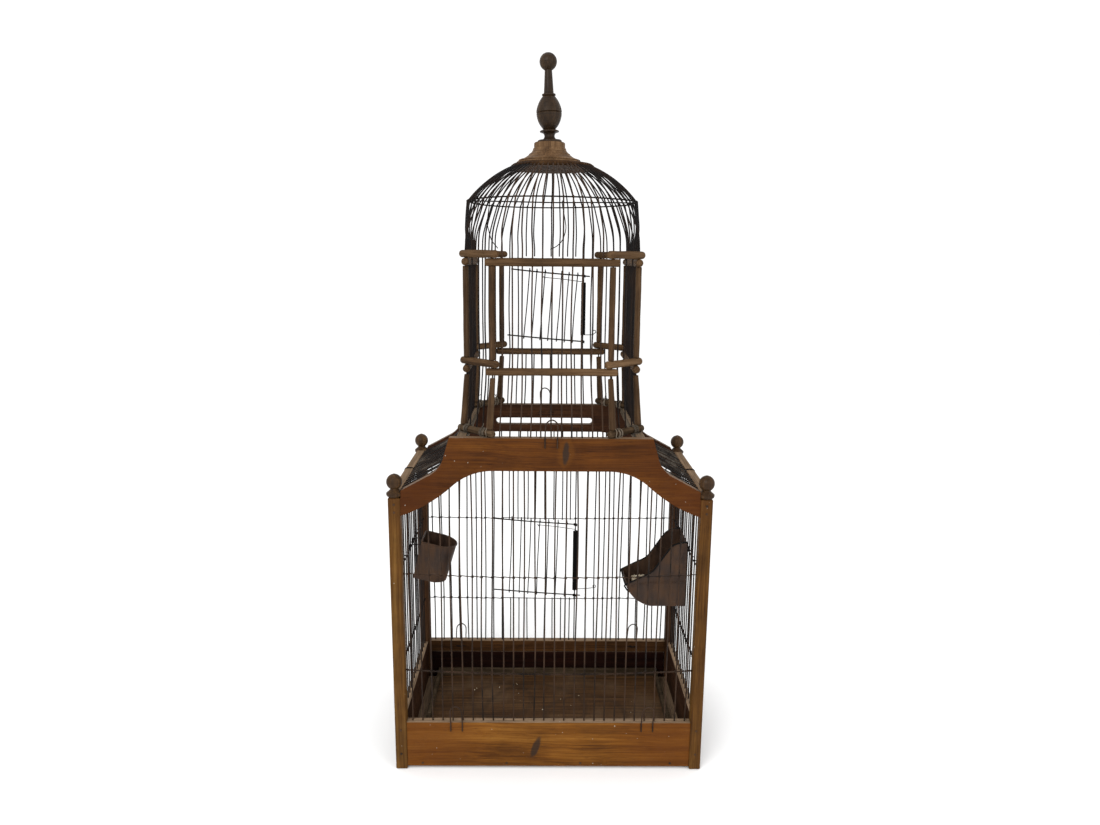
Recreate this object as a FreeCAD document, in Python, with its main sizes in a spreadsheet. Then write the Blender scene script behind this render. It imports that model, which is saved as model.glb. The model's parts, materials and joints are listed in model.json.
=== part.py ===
"""Two-tier table-top bird cage: a wooden lower room with an eight-sided wire turret and a dome.

Millimetres. +X is to the right, the front faces -Y, +Z is up, and the origin is on the floor
under the middle of the cage. Every piece is a separate object bound to the Dimensions sheet.
"""

import FreeCAD, Part
import math
import os

import Sketcher
from FreeCAD import Rotation, Vector
from types import SimpleNamespace

DIMENSIONS = [
    # alias, value, what it is
    ("cage_width", 400, "over the outer faces of the corner posts"),
    ("cage_depth", 238, "over the outer faces of the corner posts"),
    ("post_side", 15, "square corner post"),
    ("post_height", 370, "floor to the underside of the finial"),
    ("post_edge_round", 1.5, "worn post edges"),
    ("board_edge_round", 0.7, "worn board edges"),
    ("foot_gap", 3.5, "floor to the underside of the boards"),
    ("collar_overhang", 2.6, "finial collar past the faces of its post"),
    ("bottom_board_top", 66.5, "top edge of the bottom boards"),
    ("front_board_thickness", 11, "front and back boards"),
    ("side_board_thickness", 9, "left and right bottom boards"),
    ("back_rail_bottom", 49, "underside of the rail over the tray"),
    ("arch_top", 446, "flat top edge of the arch boards"),
    ("arch_top_half", 124, "half length of the flat top edge"),
    ("arch_shoulder", 379, "top edge where it meets the post"),
    ("arch_foot", 347, "lower edge where it meets the post"),
    ("arch_crown", 405, "flat middle of the lower edge"),
    ("slot_length", 144, "slot in the back arch board"),
    ("slot_height", 10, "slot in the back arch board"),
    ("slot_level", 421, "middle of the slot"),
    ("slot_offset", -8, "middle of the slot, from the middle of the board"),
    ("eave_rail_width", 11, "side rail that the roof wires come down to"),
    ("eave_rail_height", 11, "side rail that the roof wires come down to"),
    ("eave_rail_top", 376, "top of the eave rails"),
    ("sill_width", 11, "side sills under the turret"),
    ("sill_height", 11, "side sills under the turret"),
    ("sill_middle", 110, "sill centre line, from the middle of the cage"),
    ("wire", 1.6, "wire of the walls and the turret"),
    ("wire_hole_clearance", 0.03, "radial, where a wire is let into wood"),
    ("wire_bite", 6, "how far a wire is let into wood"),
    ("front_wire_count", 28, "upright wires of the front wall"),
    ("front_wire_pitch", 13.15, "upright wires of the front wall"),
    ("side_wire_count", 16, "upright wires of each side wall"),
    ("side_wire_pitch", 13, "upright wires of each side wall"),
    ("upper_tie_level", 269, "level tie wire of each wall"),
    ("lower_tie_level", 138, "level tie wire of each wall"),
    ("dowel", 9.2, "gallery rails"),
    ("dowel_overhang", 9, "rail end past the corner wire"),
    ("dowel_end_round", 2.8, "rounded rail ends"),
    ("dowel_step", 9.4, "a crossing rail lies on the one below"),
    ("turret_half_width", 105, "side faces of the turret"),
    ("turret_half_depth", 107.5, "front and back faces of the turret"),
    ("turret_half_front", 71, "corner wires of the front face"),
    ("turret_half_side", 75, "corner wires of the side faces"),
    ("turret_splay", 4.5, "how far the turret spreads at its base"),
    ("middle_rail_level", 525.6, "centre of the lower rails of the middle stack"),
    ("top_rail_level", 655.2, "centre of the lower rails of the top stack"),
    ("base_post_foot", 9.4, "foot of a lower gallery post"),
    ("base_post_head", 6.8, "head of a lower gallery post"),
    ("upper_post", 7.6, "upper gallery post"),
    ("post_gap", 2, "daylight between a lower gallery post and its rail"),
    ("ring_radius", 108, "dome ring"),
    ("ring_level", 730.5, "dome ring"),
    ("shoulder_level", 695, "fullest part of the dome, below the ring"),
    ("shoulder_bulge", 4.5, "how far the wires stand out there from a straight run"),
    ("dome_waist_radius", 88.3, "half way up the dome"),
    ("dome_waist_level", 751, "half way up the dome"),
    ("dome_mouth", 50, "radius where the dome wires end in the crown plate"),
    ("dome_mouth_level", 774.4, "where the dome wires end in the crown plate"),
    ("crown_plate_radius", 53, "plate that the dome wires end in"),
    ("crown_plate_bottom", 771, "underside of the crown plate"),
    ("crown_plate_height", 6, "crown plate"),
    ("crown_offset", -4, "the cap and the spire sit a little to the left on the plate"),
    ("crown_cap_height", 26.5, "crown cap"),
    ("spire_lean", 1.5, "degrees, to the left"),
    ("tray_width", 345, "sliding tray"),
    ("tray_depth", 208, "tray floor, front to back"),
    ("tray_floor_top", 11, "top of the tray floor"),
    ("tray_floor_height", 3.5, "tray floor"),
    ("tray_lip_height", 11, "lips on the tray floor"),
    ("tray_lip_thickness", 5, "lips on the tray floor"),
    ("tray_clearance", 0.8, "between the tray and what it slides past"),
    ("ledge_width", 24, "ledges that the tray slides on"),
    ("door_bar", 1.8, "bars of the doors"),
    ("door_overlap", 12, "bar end past the free side of the doorway"),
    ("door_rise", 9, "how much higher the free end of a bar is"),
    ("door_wire_count", 7, "upright wires of each door"),
    ("hinge_clearance", 0.06, "radial, bar eye on its wall wire"),
    ("hinge_eye", 5.2, "bar eye, outside"),
    ("lower_hinge_x", 41, "wall wire that the lower door hangs on"),
    ("lower_door_bottom", 141, "lower bar of the lower door at the hinge"),
    ("lower_door_top", 257, "upper bar of the lower door at the hinge"),
    ("upper_door_bottom", 540, "lower bar of the upper door at the hinge"),
    ("upper_door_top", 635, "upper bar of the upper door at the hinge"),
    ("spring_outside", 7.4, "door spring coil"),
    ("spring_inside", 4.6, "door spring coil"),
    ("spring_wire", 1.2, "door spring legs"),
    ("spring_leg_reach", 58, "spring leg that bears on the door"),
    ("lower_wall_leg", 34, "spring leg that bears on the wall, lower door"),
    ("upper_wall_leg", 17, "spring leg that bears on the wall, upper door"),
    ("cup_depth", 47, "seed cup, back to front, at the rim"),
    ("cup_width", 46, "seed cup, along the wall, at the rim"),
    ("cup_height", 54, "seed cup"),
    ("cup_heel", 226, "back of the seed cup's bottom"),
    ("cup_tilt", 14, "degrees, how far the seed cup leans into the cage"),
    ("cup_taper", 0.95, "size of the seed cup's bottom over its rim"),
    ("feeder_width", 56, "hopper feeder, along the wall"),
    ("feeder_bottom", 188.5, "hopper feeder"),
    ("feeder_top", 281, "hopper feeder"),
    ("sheet_metal", 1.2, "wall of the seed cup and of the hopper feeder"),
    ("hook_wire", 1.6, "hooks that the cups hang by"),
    ("loop_wire", 1.7, "inverted-U wire loops"),
    ("loop_width", 15, "inverted-U wire loops"),
    ("loop_height", 23, "loop above its board"),
    ("loop_leg", 12, "loop leg below the top of its board"),
    ("nail_head", 3, "nail heads"),
    ("nail_proud", 0.5, "nail heads"),
]

doc = FreeCAD.newDocument("BirdCage")
sheet = doc.addObject("Spreadsheet::Sheet", "Dimensions")
for row, (alias, value, meaning) in enumerate(DIMENSIONS, 1):
    sheet.set(f"A{row}", meaning)
    sheet.set(f"B{row}", str(value))
    sheet.setAlias(f"B{row}", alias)
doc.recompute()

# the same cells, read back for the places that an expression can't reach
size = SimpleNamespace(**{alias: float(sheet.get(alias)) for alias, _, _ in DIMENSIONS})
wire_radius = size.wire / 2
post_x = (size.cage_width - size.post_side) / 2
post_y = (size.cage_depth - size.post_side) / 2
wall_y = post_y + 0.5
inner_x = post_x - size.post_side / 2
inner_y = post_y - size.post_side / 2
tie_offset = size.wire + 0.05
SIDES = (("left", -1), ("right", 1))
ENDS = (("front", -1), ("back", 1))

subparts = {}


def keep(label, thing):
    """Makes a document object a finished sub-part under its label."""
    thing.Label = label
    subparts[label] = thing
    return thing


def bind(thing, **expressions):
    """Binds properties to the sheet; a double underscore in a name stands for a dot."""
    for name, expression in expressions.items():
        thing.setExpression(name.replace("__", "."), expression)
    return thing


def shape_object(name, shape):
    """A plain shape object whose sizes were read from the sheet."""
    feature = doc.addObject("Part::Feature", name)
    feature.Shape = shape
    return feature


def group(label, solids):
    """Several separate solids of one kind in one sub-part."""
    return keep(label, shape_object(label, Part.makeCompound(solids)))


def origin_plane(body, role):
    """One of the body's own origin planes."""
    return next(plane for plane in body.Origin.OriginFeatures if plane.Role == role)


def sketch_on(body, role, name):
    """An empty sketch on one of the body's origin planes."""
    sketch = body.newObject("Sketcher::SketchObject", name)
    sketch.AttachmentSupport = (origin_plane(body, role), [""])
    sketch.MapMode = "FlatFace"
    return sketch


def block(name, along_x, along_y, along_z, centre_x, centre_y, bottom, edge_round):
    """A squared piece of wood: a constrained rectangle, padded upwards, with worn edges."""
    body = doc.addObject("PartDesign::Body", name)
    sketch = sketch_on(body, "XY_Plane", name + "_plan")
    corners = [Vector(-9, -5, 0), Vector(9, -5, 0), Vector(9, 5, 0), Vector(-9, 5, 0)]
    for start, end in zip(corners, corners[1:] + corners[:1]):
        sketch.addGeometry(Part.LineSegment(start, end))
    for side in range(4):
        sketch.addConstraint(Sketcher.Constraint("Coincident", side, 2, (side + 1) % 4, 1))
    for side in (0, 2):
        sketch.addConstraint(Sketcher.Constraint("Horizontal", side))
        sketch.addConstraint(Sketcher.Constraint("Vertical", side + 1))
    sketch.addConstraint(Sketcher.Constraint("Symmetric", 0, 1, 2, 1, -1, 1))
    wide = sketch.addConstraint(Sketcher.Constraint("DistanceX", 0, 1, 0, 2, 18))
    deep = sketch.addConstraint(Sketcher.Constraint("DistanceY", 1, 1, 1, 2, 10))
    sketch.setExpression(f"Constraints[{wide}]", along_x)
    sketch.setExpression(f"Constraints[{deep}]", along_y)
    pad = body.newObject("PartDesign::Pad", name + "_pad")
    pad.Profile = sketch
    bind(pad, Length=along_z)
    doc.recompute()
    worn = body.newObject("PartDesign::Fillet", name + "_worn_edges")
    worn.Base = (pad, ["Edge1"])
    worn.UseAllEdges = True
    bind(worn, Radius=edge_round)
    body.Tip = worn
    bind(
        body,
        Placement__Base__x=centre_x,
        Placement__Base__y=centre_y,
        Placement__Base__z=bottom,
    )
    return body


def turned(name, outline):
    """A piece turned on the Z axis. An outline point is (radius, height), or
    (radius, height, radius through, height through) where an arc leads to it."""
    body = doc.addObject("PartDesign::Body", name)
    sketch = sketch_on(body, "XZ_Plane", name + "_outline")
    here = Vector(*outline[0][:2], 0)
    for point in outline[1:] + outline[:1]:
        there = Vector(*point[:2], 0)
        if len(point) == 4:
            sketch.addGeometry(Part.Arc(here, Vector(*point[2:], 0), there))
        else:
            sketch.addGeometry(Part.LineSegment(here, there))
        here = there
    revolution = body.newObject("PartDesign::Revolution", name + "_turning")
    revolution.Profile = sketch
    revolution.ReferenceAxis = (sketch, ["V_Axis"])
    revolution.Angle = 360
    body.Tip = revolution
    return body


def drilled(label, base, *tools):
    """The base piece with holes bored in it, or other tools cut out of it."""
    every_tool = [tool for group_of_tools in tools for tool in group_of_tools]
    cut = doc.addObject("Part::Cut", label)
    cut.Base = base
    cut.Tool = shape_object(label + "_holes", Part.makeCompound(every_tool))
    return keep(label, cut)


def rod(start, end, radius):
    """A straight round wire between two points."""
    start, end = Vector(*start), Vector(*end)
    along = end - start
    return Part.makeCylinder(radius, along.Length, start, along)


def bent_wire(points, radius):
    """A round wire along straight runs, with mitred bends."""
    points = [Vector(*point) for point in points]
    path = Part.makePolygon(points)
    along = points[1] - points[0]
    profile = Part.Wire([Part.makeCircle(radius, points[0], along)])
    return path.makePipeShell([profile], True, False, 1)


def holes(makers):
    """The same wires, a little thicker, to bore their holes with."""
    return [make(wire_radius + size.wire_hole_clearance) for make in makers]


def wires(makers):
    """The wires themselves, from the functions that make one of a given radius."""
    return [make(wire_radius) for make in makers]


# ---------------------------------------------------------------- lower room: where wires go


def evenly(count, pitch):
    """Positions about zero at a steady pitch."""
    return [(index - (count - 1) / 2) * pitch for index in range(int(count))]


def arch_edges(side):
    """One half of the arch board's outline in X and Z, from the middle of the top edge to the
    middle of the lower edge. The side is -1 or 1."""

    def at(x, z):
        return Vector(side * x, z, 0)

    top = at(size.arch_top_half, size.arch_top)
    below_top = at(size.arch_top_half + 6.5, size.arch_top - 22)
    hollow = at(size.arch_top_half + 13, size.arch_top - 37)
    hollow_end = at(size.arch_top_half + 28, size.arch_top - 49)
    shoulder = at(inner_x, size.arch_shoulder)
    foot = at(inner_x, size.arch_foot)
    inner_hollow = at(151, size.arch_foot + 16)
    inner_bend = at(122, size.arch_crown - 20.5)
    inner_round = at(99, size.arch_crown - 5.5)
    inner_flat = at(70, size.arch_crown)
    return [
        Part.LineSegment(at(0, size.arch_top), top),
        Part.LineSegment(top, below_top),
        Part.Arc(below_top, hollow, hollow_end),
        Part.LineSegment(hollow_end, shoulder),
        Part.LineSegment(shoulder, foot),
        Part.Arc(foot, inner_hollow, inner_bend),
        Part.Arc(inner_bend, inner_round, inner_flat),
        Part.LineSegment(inner_flat, at(0, size.arch_crown)),
    ]


def arch_blank(name, slotted):
    """An arch board before its holes are bored."""
    body = doc.addObject("PartDesign::Body", name)
    outline = sketch_on(body, "XZ_Plane", name + "_outline")
    for geometry in arch_edges(-1) + arch_edges(1):
        outline.addGeometry(geometry)
    pad = body.newObject("PartDesign::Pad", name + "_pad")
    pad.Profile = outline
    pad.Midplane = True
    bind(pad, Length="Dimensions.front_board_thickness")
    body.Tip = pad
    if slotted:
        half = (size.slot_length - size.slot_height) / 2
        low = Vector(size.slot_offset, size.slot_level - size.slot_height / 2, 0)
        high = Vector(size.slot_offset, size.slot_level + size.slot_height / 2, 0)
        slot = sketch_on(body, "XZ_Plane", name + "_slot")
        for end in (-1, 1):
            run = Vector(end * half, 0, 0)
            tip = (low + high) / 2 + Vector(end * (half + size.slot_height / 2), 0, 0)
            slot.addGeometry(Part.Arc(low + run, tip, high + run))
        slot.addGeometry(Part.LineSegment(low - Vector(half, 0, 0), low + Vector(half, 0, 0)))
        slot.addGeometry(Part.LineSegment(high - Vector(half, 0, 0), high + Vector(half, 0, 0)))
        pocket = body.newObject("PartDesign::Pocket", name + "_slot_cut")
        pocket.Profile = slot
        pocket.Type = "ThroughAll"
        pocket.Midplane = True
        body.Tip = pocket
    body.Placement.Base = Vector(0, wall_y if slotted else -wall_y, 0)
    return body


def lower_edge(blank, x):
    """Height of an arch board's lower edge at a distance from the middle."""
    y = blank.Placement.Base.y
    plumb = Part.makeLine(Vector(x, y, 0), Vector(x, y, 500))
    return plumb.common(blank.Shape).BoundBox.ZMin


front_arch = arch_blank("front_arch_blank", slotted=False)
back_arch = arch_blank("back_arch_blank", slotted=True)
doc.recompute()

bite = size.wire_bite
front_x = evenly(size.front_wire_count, size.front_wire_pitch)
side_y = evenly(size.side_wire_count, size.side_wire_pitch)
hinge_index = min(range(len(front_x)), key=lambda i: abs(front_x[i] - size.lower_hinge_x))
back_x = front_x[:hinge_index] + [size.lower_hinge_x] + front_x[hinge_index + 1 :]
doorway_x = back_x[hinge_index - 9 : hinge_index + 1]
cut_x = doorway_x[1:-1]


def upright(x, y, low, high):
    """A function that makes one upright wire of a given radius."""
    return lambda radius: rod((x, y, low), (x, y, high), radius)


wall_foot = size.bottom_board_top - bite
front_wall = [upright(x, -wall_y, wall_foot, lower_edge(front_arch, x) + bite) for x in front_x]
back_wall_whole = [
    upright(x, wall_y, wall_foot, lower_edge(back_arch, x) + bite) for x in back_x if x not in cut_x
]
back_wall_low = [upright(x, wall_y, wall_foot, size.lower_tie_level) for x in cut_x]
back_wall_high = [
    upright(x, wall_y, size.upper_tie_level, lower_edge(back_arch, x) + bite) for x in cut_x
]
back_wall = back_wall_whole + back_wall_low + back_wall_high
eave_bottom = size.eave_rail_top - size.eave_rail_height
side_walls = {
    side: [upright(sign * post_x, y, wall_foot, eave_bottom + bite) for y in side_y]
    for side, sign in SIDES
}


def roof_wire(sign, y):
    """A function that makes one roof wire, which hollows in as the arch boards do."""
    sill_face = size.sill_middle + size.sill_width / 2
    top = size.arch_top - 7
    route = [
        (sill_face - 4.5, top + 1),
        (sill_face + 2.5, top - 1),
        (sill_face + 11, top - 20),
        (sill_face + 17, top - 30),
        (sill_face + 25, top - 38.5),
        (sill_face + 36, top - 46),
        (post_x - 1.5, size.eave_rail_top - 4),
    ]
    return lambda radius: bent_wire([(sign * x, y, z) for x, z in route], radius)


roof = {side: [roof_wire(sign, y) for y in side_y] for side, sign in SIDES}


def level_tie(x, y, level, along_x):
    """A function that makes one level tie wire, let into the posts at both ends."""
    if along_x:
        reach = inner_x + 3
        return lambda radius: rod((-reach, y, level), (reach, y, level), radius)
    reach = inner_y + 3
    return lambda radius: rod((x, -reach, level), (x, reach, level), radius)


tie_levels = (size.lower_tie_level, size.upper_tie_level)
end_ties = {
    end: [level_tie(0, sign * (wall_y - tie_offset), level, True) for level in tie_levels]
    for end, sign in ENDS
}
side_ties = {
    side: [level_tie(sign * (post_x - tie_offset), 0, level, False) for level in tie_levels]
    for side, sign in SIDES
}

# ---------------------------------------------------------------- turret: where wires go

splay = size.turret_splay
bend_low = size.middle_rail_level - size.dowel / 2 - 3
bend_high = size.top_rail_level + size.dowel_step + size.dowel / 2 + 2
FACE_GAPS = 12
CORNER_GAPS = 4

# the dome's curve in an upright plane, which every turret wire runs into without a kink
dome_foot = Vector(size.ring_radius, 0, size.ring_level)
dome_waist = Vector(size.dome_waist_radius, 0, size.dome_waist_level)
dome_arc = Part.Arc(dome_foot, dome_waist, Vector(size.dome_mouth, 0, size.dome_mouth_level))
dome_start = dome_arc.tangent(dome_arc.FirstParameter)[0]
ring_run = 1.5


def turret_corner(index):
    """The eight corners of the turret above its splayed base, clockwise from front left."""
    front, side = size.turret_half_front, size.turret_half_side
    wide, deep = size.turret_half_width, size.turret_half_depth
    corners = [(-front, -deep), (-wide, -side), (-wide, side), (-front, deep)]
    corners += [(front, deep), (wide, side), (wide, -side), (front, -deep)]
    return corners[index % 8]


def splayed(index):
    """The same corner at the turret's base."""
    x, y = turret_corner(index)
    return (x + math.copysign(splay, x), y + math.copysign(splay, y))


def between(start, end, share):
    """A point part of the way from one point to another."""
    return tuple(a + (b - a) * share for a, b in zip(start, end))


def turret_run(index, share, foot):
    """The foot, the bends and the top of a turret wire, between corner index and the next one."""
    low = between(splayed(index), splayed(index + 1), share)
    high = between(turret_corner(index), turret_corner(index + 1), share)
    turn = math.atan2(high[1], high[0])
    ring = (size.ring_radius * math.cos(turn), size.ring_radius * math.sin(turn))
    under_radius = size.ring_radius - dome_start.x * ring_run
    under_ring = (
        under_radius * math.cos(turn),
        under_radius * math.sin(turn),
        size.ring_level - dome_start.z * ring_run,
    )
    down = (bend_low - foot) / (bend_low - size.arch_top)
    start = between((*high, bend_low), (*low, size.arch_top), down)
    up = (size.shoulder_level - bend_high) / (size.ring_level - bend_high)
    straight = between(high, ring, up)
    reach = 1 + size.shoulder_bulge / math.hypot(*straight)
    shoulder = (straight[0] * reach, straight[1] * reach, size.shoulder_level)
    top = (*ring, size.ring_level)
    return [start, (*high, bend_low), (*high, bend_high), shoulder, under_ring, top]


def turret_wire(points):
    """A function that makes one turret wire of a given radius."""
    return lambda radius: bent_wire(points, radius)


board_foot = size.arch_top - bite
corner_foot = size.arch_top - 1
turret_runs = {"corner": [turret_run(index, 0, board_foot) for index in range(8)]}
for name, index in (("left", 1), ("back", 3), ("right", 5), ("front", 7)):
    turret_runs[name] = [
        turret_run(index, step / FACE_GAPS, board_foot) for step in range(1, FACE_GAPS)
    ]
turret_runs["diagonal"] = [
    turret_run(index, step / CORNER_GAPS, corner_foot)
    for index in (0, 2, 4, 6)
    for step in range(1, CORNER_GAPS)
]
turret = {name: [turret_wire(run) for run in runs] for name, runs in turret_runs.items()}

# the upper doorway, where seven back wires are cut out between the middle and the top rails
hinge_step = 10
door_steps = range(3, 10)
upper_hinge_x = turret_runs["back"][hinge_step - 1][1][0]
upper_doorway_low = size.middle_rail_level + 1
upper_doorway_high = size.top_rail_level - 1
turret["back"] = []
for step, run in enumerate(turret_runs["back"], 1):
    if step in door_steps:
        x, y, _ = run[1]
        turret["back"].append(turret_wire(run[:2] + [(x, y, upper_doorway_low)]))
        turret["back"].append(turret_wire([(x, y, upper_doorway_high)] + run[2:]))
    else:
        turret["back"].append(turret_wire(run))
all_turret = [maker for makers in turret.values() for maker in makers]


def dome_wire(turn):
    """A function that makes one dome wire, an arc in an upright plane."""
    path = Part.Wire([dome_arc.toShape()])

    def make(radius):
        profile = Part.Wire([Part.makeCircle(radius, dome_foot, dome_start)])
        wire = path.makePipeShell([profile], True, False)
        wire.rotate(Vector(), Vector(0, 0, 1), math.degrees(turn))
        return wire

    return make


dome = [
    dome_wire(math.atan2(run[-1][1], run[-1][0])) for runs in turret_runs.values() for run in runs
]

# ---------------------------------------------------------------- lower room: wood

for end, end_sign in ENDS:
    for side, side_sign in SIDES:
        name = f"post_{end}_{side}"
        blank = block(
            name + "_blank",
            "Dimensions.post_side",
            "Dimensions.post_side",
            "Dimensions.post_height",
            f"{side_sign} * (Dimensions.cage_width - Dimensions.post_side) / 2",
            f"{end_sign} * (Dimensions.cage_depth - Dimensions.post_side) / 2",
            "0 * Dimensions.foot_gap",
            "Dimensions.post_edge_round",
        )
        drilled(name, blank, holes(end_ties[end]), holes(side_ties[side]))

collar_radius = size.post_side / 2 + size.collar_overhang
collar_notches = [
    Part.makeCylinder(collar_radius + 0.2, 11, Vector(x, y, size.post_height))
    for x in (-post_x, post_x)
    for y in (-post_y, post_y)
]

between_posts_x = "Dimensions.cage_width - 2 * Dimensions.post_side"
between_posts_y = "Dimensions.cage_depth - 2 * Dimensions.post_side"
wall_plane = "(Dimensions.cage_depth - Dimensions.post_side + 1) / 2"
side_plane = "(Dimensions.cage_width - Dimensions.post_side) / 2"

front_board = block(
    "front_board_blank",
    between_posts_x,
    "Dimensions.front_board_thickness",
    "Dimensions.bottom_board_top - Dimensions.foot_gap",
    "0 * Dimensions.foot_gap",
    "-" + wall_plane,
    "Dimensions.foot_gap",
    "Dimensions.board_edge_round",
)
drilled("front_bottom_board", front_board, holes(front_wall))

back_rail = block(
    "back_rail_blank",
    between_posts_x,
    "Dimensions.front_board_thickness",
    "Dimensions.bottom_board_top - Dimensions.back_rail_bottom",
    "0 * Dimensions.foot_gap",
    wall_plane,
    "Dimensions.back_rail_bottom",
    "Dimensions.board_edge_round",
)
drilled("back_bottom_rail", back_rail, holes(back_wall_whole), holes(back_wall_low))

for side, sign in SIDES:
    side_board = block(
        side + "_board_blank",
        "Dimensions.side_board_thickness",
        between_posts_y,
        "Dimensions.bottom_board_top - Dimensions.foot_gap",
        f"{sign} * {side_plane}",
        "0 * Dimensions.foot_gap",
        "Dimensions.foot_gap",
        "Dimensions.board_edge_round",
    )
    drilled(side + "_bottom_board", side_board, holes(side_walls[side]))
    eave = block(
        side + "_eave_blank",
        "Dimensions.eave_rail_width",
        between_posts_y,
        "Dimensions.eave_rail_height",
        f"{sign} * {side_plane}",
        "0 * Dimensions.foot_gap",
        "Dimensions.eave_rail_top - Dimensions.eave_rail_height",
        "Dimensions.board_edge_round",
    )
    drilled(
        side + "_eave_rail", eave, holes(side_walls[side]), holes(roof[side]), collar_notches
    )
    sill = block(
        side + "_sill_blank",
        "Dimensions.sill_width",
        between_posts_y + " + Dimensions.post_side - Dimensions.front_board_thickness + 1",
        "Dimensions.sill_height",
        f"{sign} * Dimensions.sill_middle",
        "0 * Dimensions.foot_gap",
        "Dimensions.arch_top - Dimensions.sill_height",
        "Dimensions.board_edge_round",
    )
    drilled(
        side + "_turret_sill",
        sill,
        holes(roof[side]),
        holes(turret[side]),
        holes(turret["corner"]),
    )

drilled(
    "front_arch_board",
    front_arch,
    holes(front_wall),
    holes(turret["front"]),
    holes(turret["corner"]),
    collar_notches,
)
drilled(
    "back_arch_board",
    back_arch,
    holes(back_wall_whole),
    holes(back_wall_high),
    holes(turret["back"]),
    holes(turret["corner"]),
    collar_notches,
)

# ---------------------------------------------------------------- turned wood


def corner_finial(end_sign, side_sign):
    """A small flattened ball over a bevelled collar."""
    half = size.post_side / 2
    finial = turned(
        f"finial_{end_sign}_{side_sign}",
        [
            (0, 0),
            (half - 0.5, 0),
            (collar_radius, 3.2, collar_radius - 1.3, 1.2),
            (collar_radius, 5.2),
            (half - 2.2, 9.6),
            (half - 2.2, 10.8),
            (half - 3.4, 28.2, half + 2.2, 19.5),
            (half - 6.5, 29.4),
            (0, 29.4),
        ],
    )
    finial.Placement.Base = Vector(side_sign * post_x, end_sign * post_y, size.post_height)
    return finial


finials = [corner_finial(end_sign, side_sign) for _, end_sign in ENDS for _, side_sign in SIDES]
doc.recompute()
group("corner_finials", [finial.Shape for finial in finials])

plate_top = size.crown_plate_bottom + size.crown_plate_height
plate = turned(
    "crown_plate_blank",
    [
        (0, size.crown_plate_bottom),
        (size.crown_plate_radius - 1.5, size.crown_plate_bottom),
        (size.crown_plate_radius, size.crown_plate_bottom + 1.5),
        (size.crown_plate_radius, plate_top - 2),
        (size.crown_plate_radius - 3, plate_top),
        (0, plate_top),
    ],
)
drilled("crown_plate", plate, holes(dome))

crown_cap = turned(
    "crown_cap_turning",
    [
        (0, 0),
        (41.2, 0),
        (41.2, 2.8, 42.2, 1.4),
        (38.8, 3.4),
        (38.6, 5.2, 39.4, 4.3),
        (35.4, 6),
        (26.4, 11.4, 30.4, 8.4),
        (26, 12.4),
        (21.2, 17.4, 23, 14.6),
        (20.9, 19.2),
        (19.7, 19.8),
        (19.7, size.crown_cap_height - 0.9),
        (18.8, size.crown_cap_height),
        (0, size.crown_cap_height),
    ],
)
bind(
    crown_cap,
    Placement__Base__x="Dimensions.crown_offset",
    Placement__Base__z="Dimensions.crown_plate_bottom + Dimensions.crown_plate_height",
)
keep("crown_cap", crown_cap)

egg_middle = 36
ball_middle = 96.5
foot_allowance = 1
spire_blank = turned(
    "spire_blank",
    [
        (0, -foot_allowance),
        (14.6, -foot_allowance),
        (14.6, 3, 15.6, 1.5),
        (6.6, 7, 8.6, 4.2),
        (10.8, 12.6, 7.4, 10.6),
        (11.2, 14.6, 12.2, 13.6),
        (7.6, 16.2),
        (16, egg_middle - 0.8, 13.4, egg_middle - 11.5),
        (15.2, egg_middle),
        (16.2, egg_middle + 0.8),
        (7.4, egg_middle + 20, 13.6, egg_middle + 10.5),
        (8.6, egg_middle + 20.6),
        (8.6, egg_middle + 22.2),
        (6.2, egg_middle + 23),
        (4.6, ball_middle - 10),
        (10.9, ball_middle, 8.8, ball_middle - 6.4),
        (1, ball_middle + 10.85, 7.7, ball_middle + 7.7),
        (0, ball_middle + 10.85),
    ],
)
cap_top = "Dimensions.crown_plate_bottom + Dimensions.crown_plate_height + Dimensions.crown_cap_height"
bind(spire_blank, Placement__Base__x="Dimensions.crown_offset", Placement__Base__z=cap_top)
spire_blank.Placement.Rotation = Rotation(Vector(0, 1, 0), -size.spire_lean)
doc.recompute()

# the leaning spire's foot is pared off level with the cap that it stands on
spire_foot = plate_top + size.crown_cap_height
below_foot = Part.makeBox(60, 60, 10, Vector(-30, -30, spire_foot - 10))
drilled("spire", spire_blank, [below_foot])

# ---------------------------------------------------------------- turret: dowels


def dowel_rail(label, index, level, corner_of):
    """A rail between two corner wires, rounded at both ends, threaded on its wires."""
    start, end = (Vector(*corner_of(i), level) for i in (index, index + 1))
    body = doc.addObject("PartDesign::Body", label + "_blank")
    sketch = sketch_on(body, "YZ_Plane", label + "_section")
    circle = sketch.addGeometry(Part.Circle(Vector(), Vector(0, 0, 1), size.dowel / 2))
    sketch.addConstraint(Sketcher.Constraint("Coincident", circle, 3, -1, 1))
    across = sketch.addConstraint(Sketcher.Constraint("Diameter", circle, size.dowel))
    sketch.setExpression(f"Constraints[{across}]", "Dimensions.dowel")
    pad = body.newObject("PartDesign::Pad", label + "_pad")
    pad.Profile = sketch
    pad.Midplane = True
    bind(pad, Length=f"{(end - start).Length} + 2 * Dimensions.dowel_overhang")
    doc.recompute()
    rounded = body.newObject("PartDesign::Fillet", label + "_ends")
    rounded.Base = (pad, ["Edge1"])
    rounded.UseAllEdges = True
    bind(rounded, Radius="Dimensions.dowel_end_round")
    body.Tip = rounded
    body.Placement = FreeCAD.Placement(
        (start + end) / 2, Rotation(Vector(1, 0, 0), end - start)
    )
    doc.recompute()
    reach = body.Shape.BoundBox
    threaded = [hole for hole in turret_holes if hole.BoundBox.intersect(reach)]
    cut = doc.addObject("Part::Cut", label)
    cut.Base = body
    cut.Tool = shape_object(label + "_holes", Part.makeCompound(threaded))
    return cut


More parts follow.
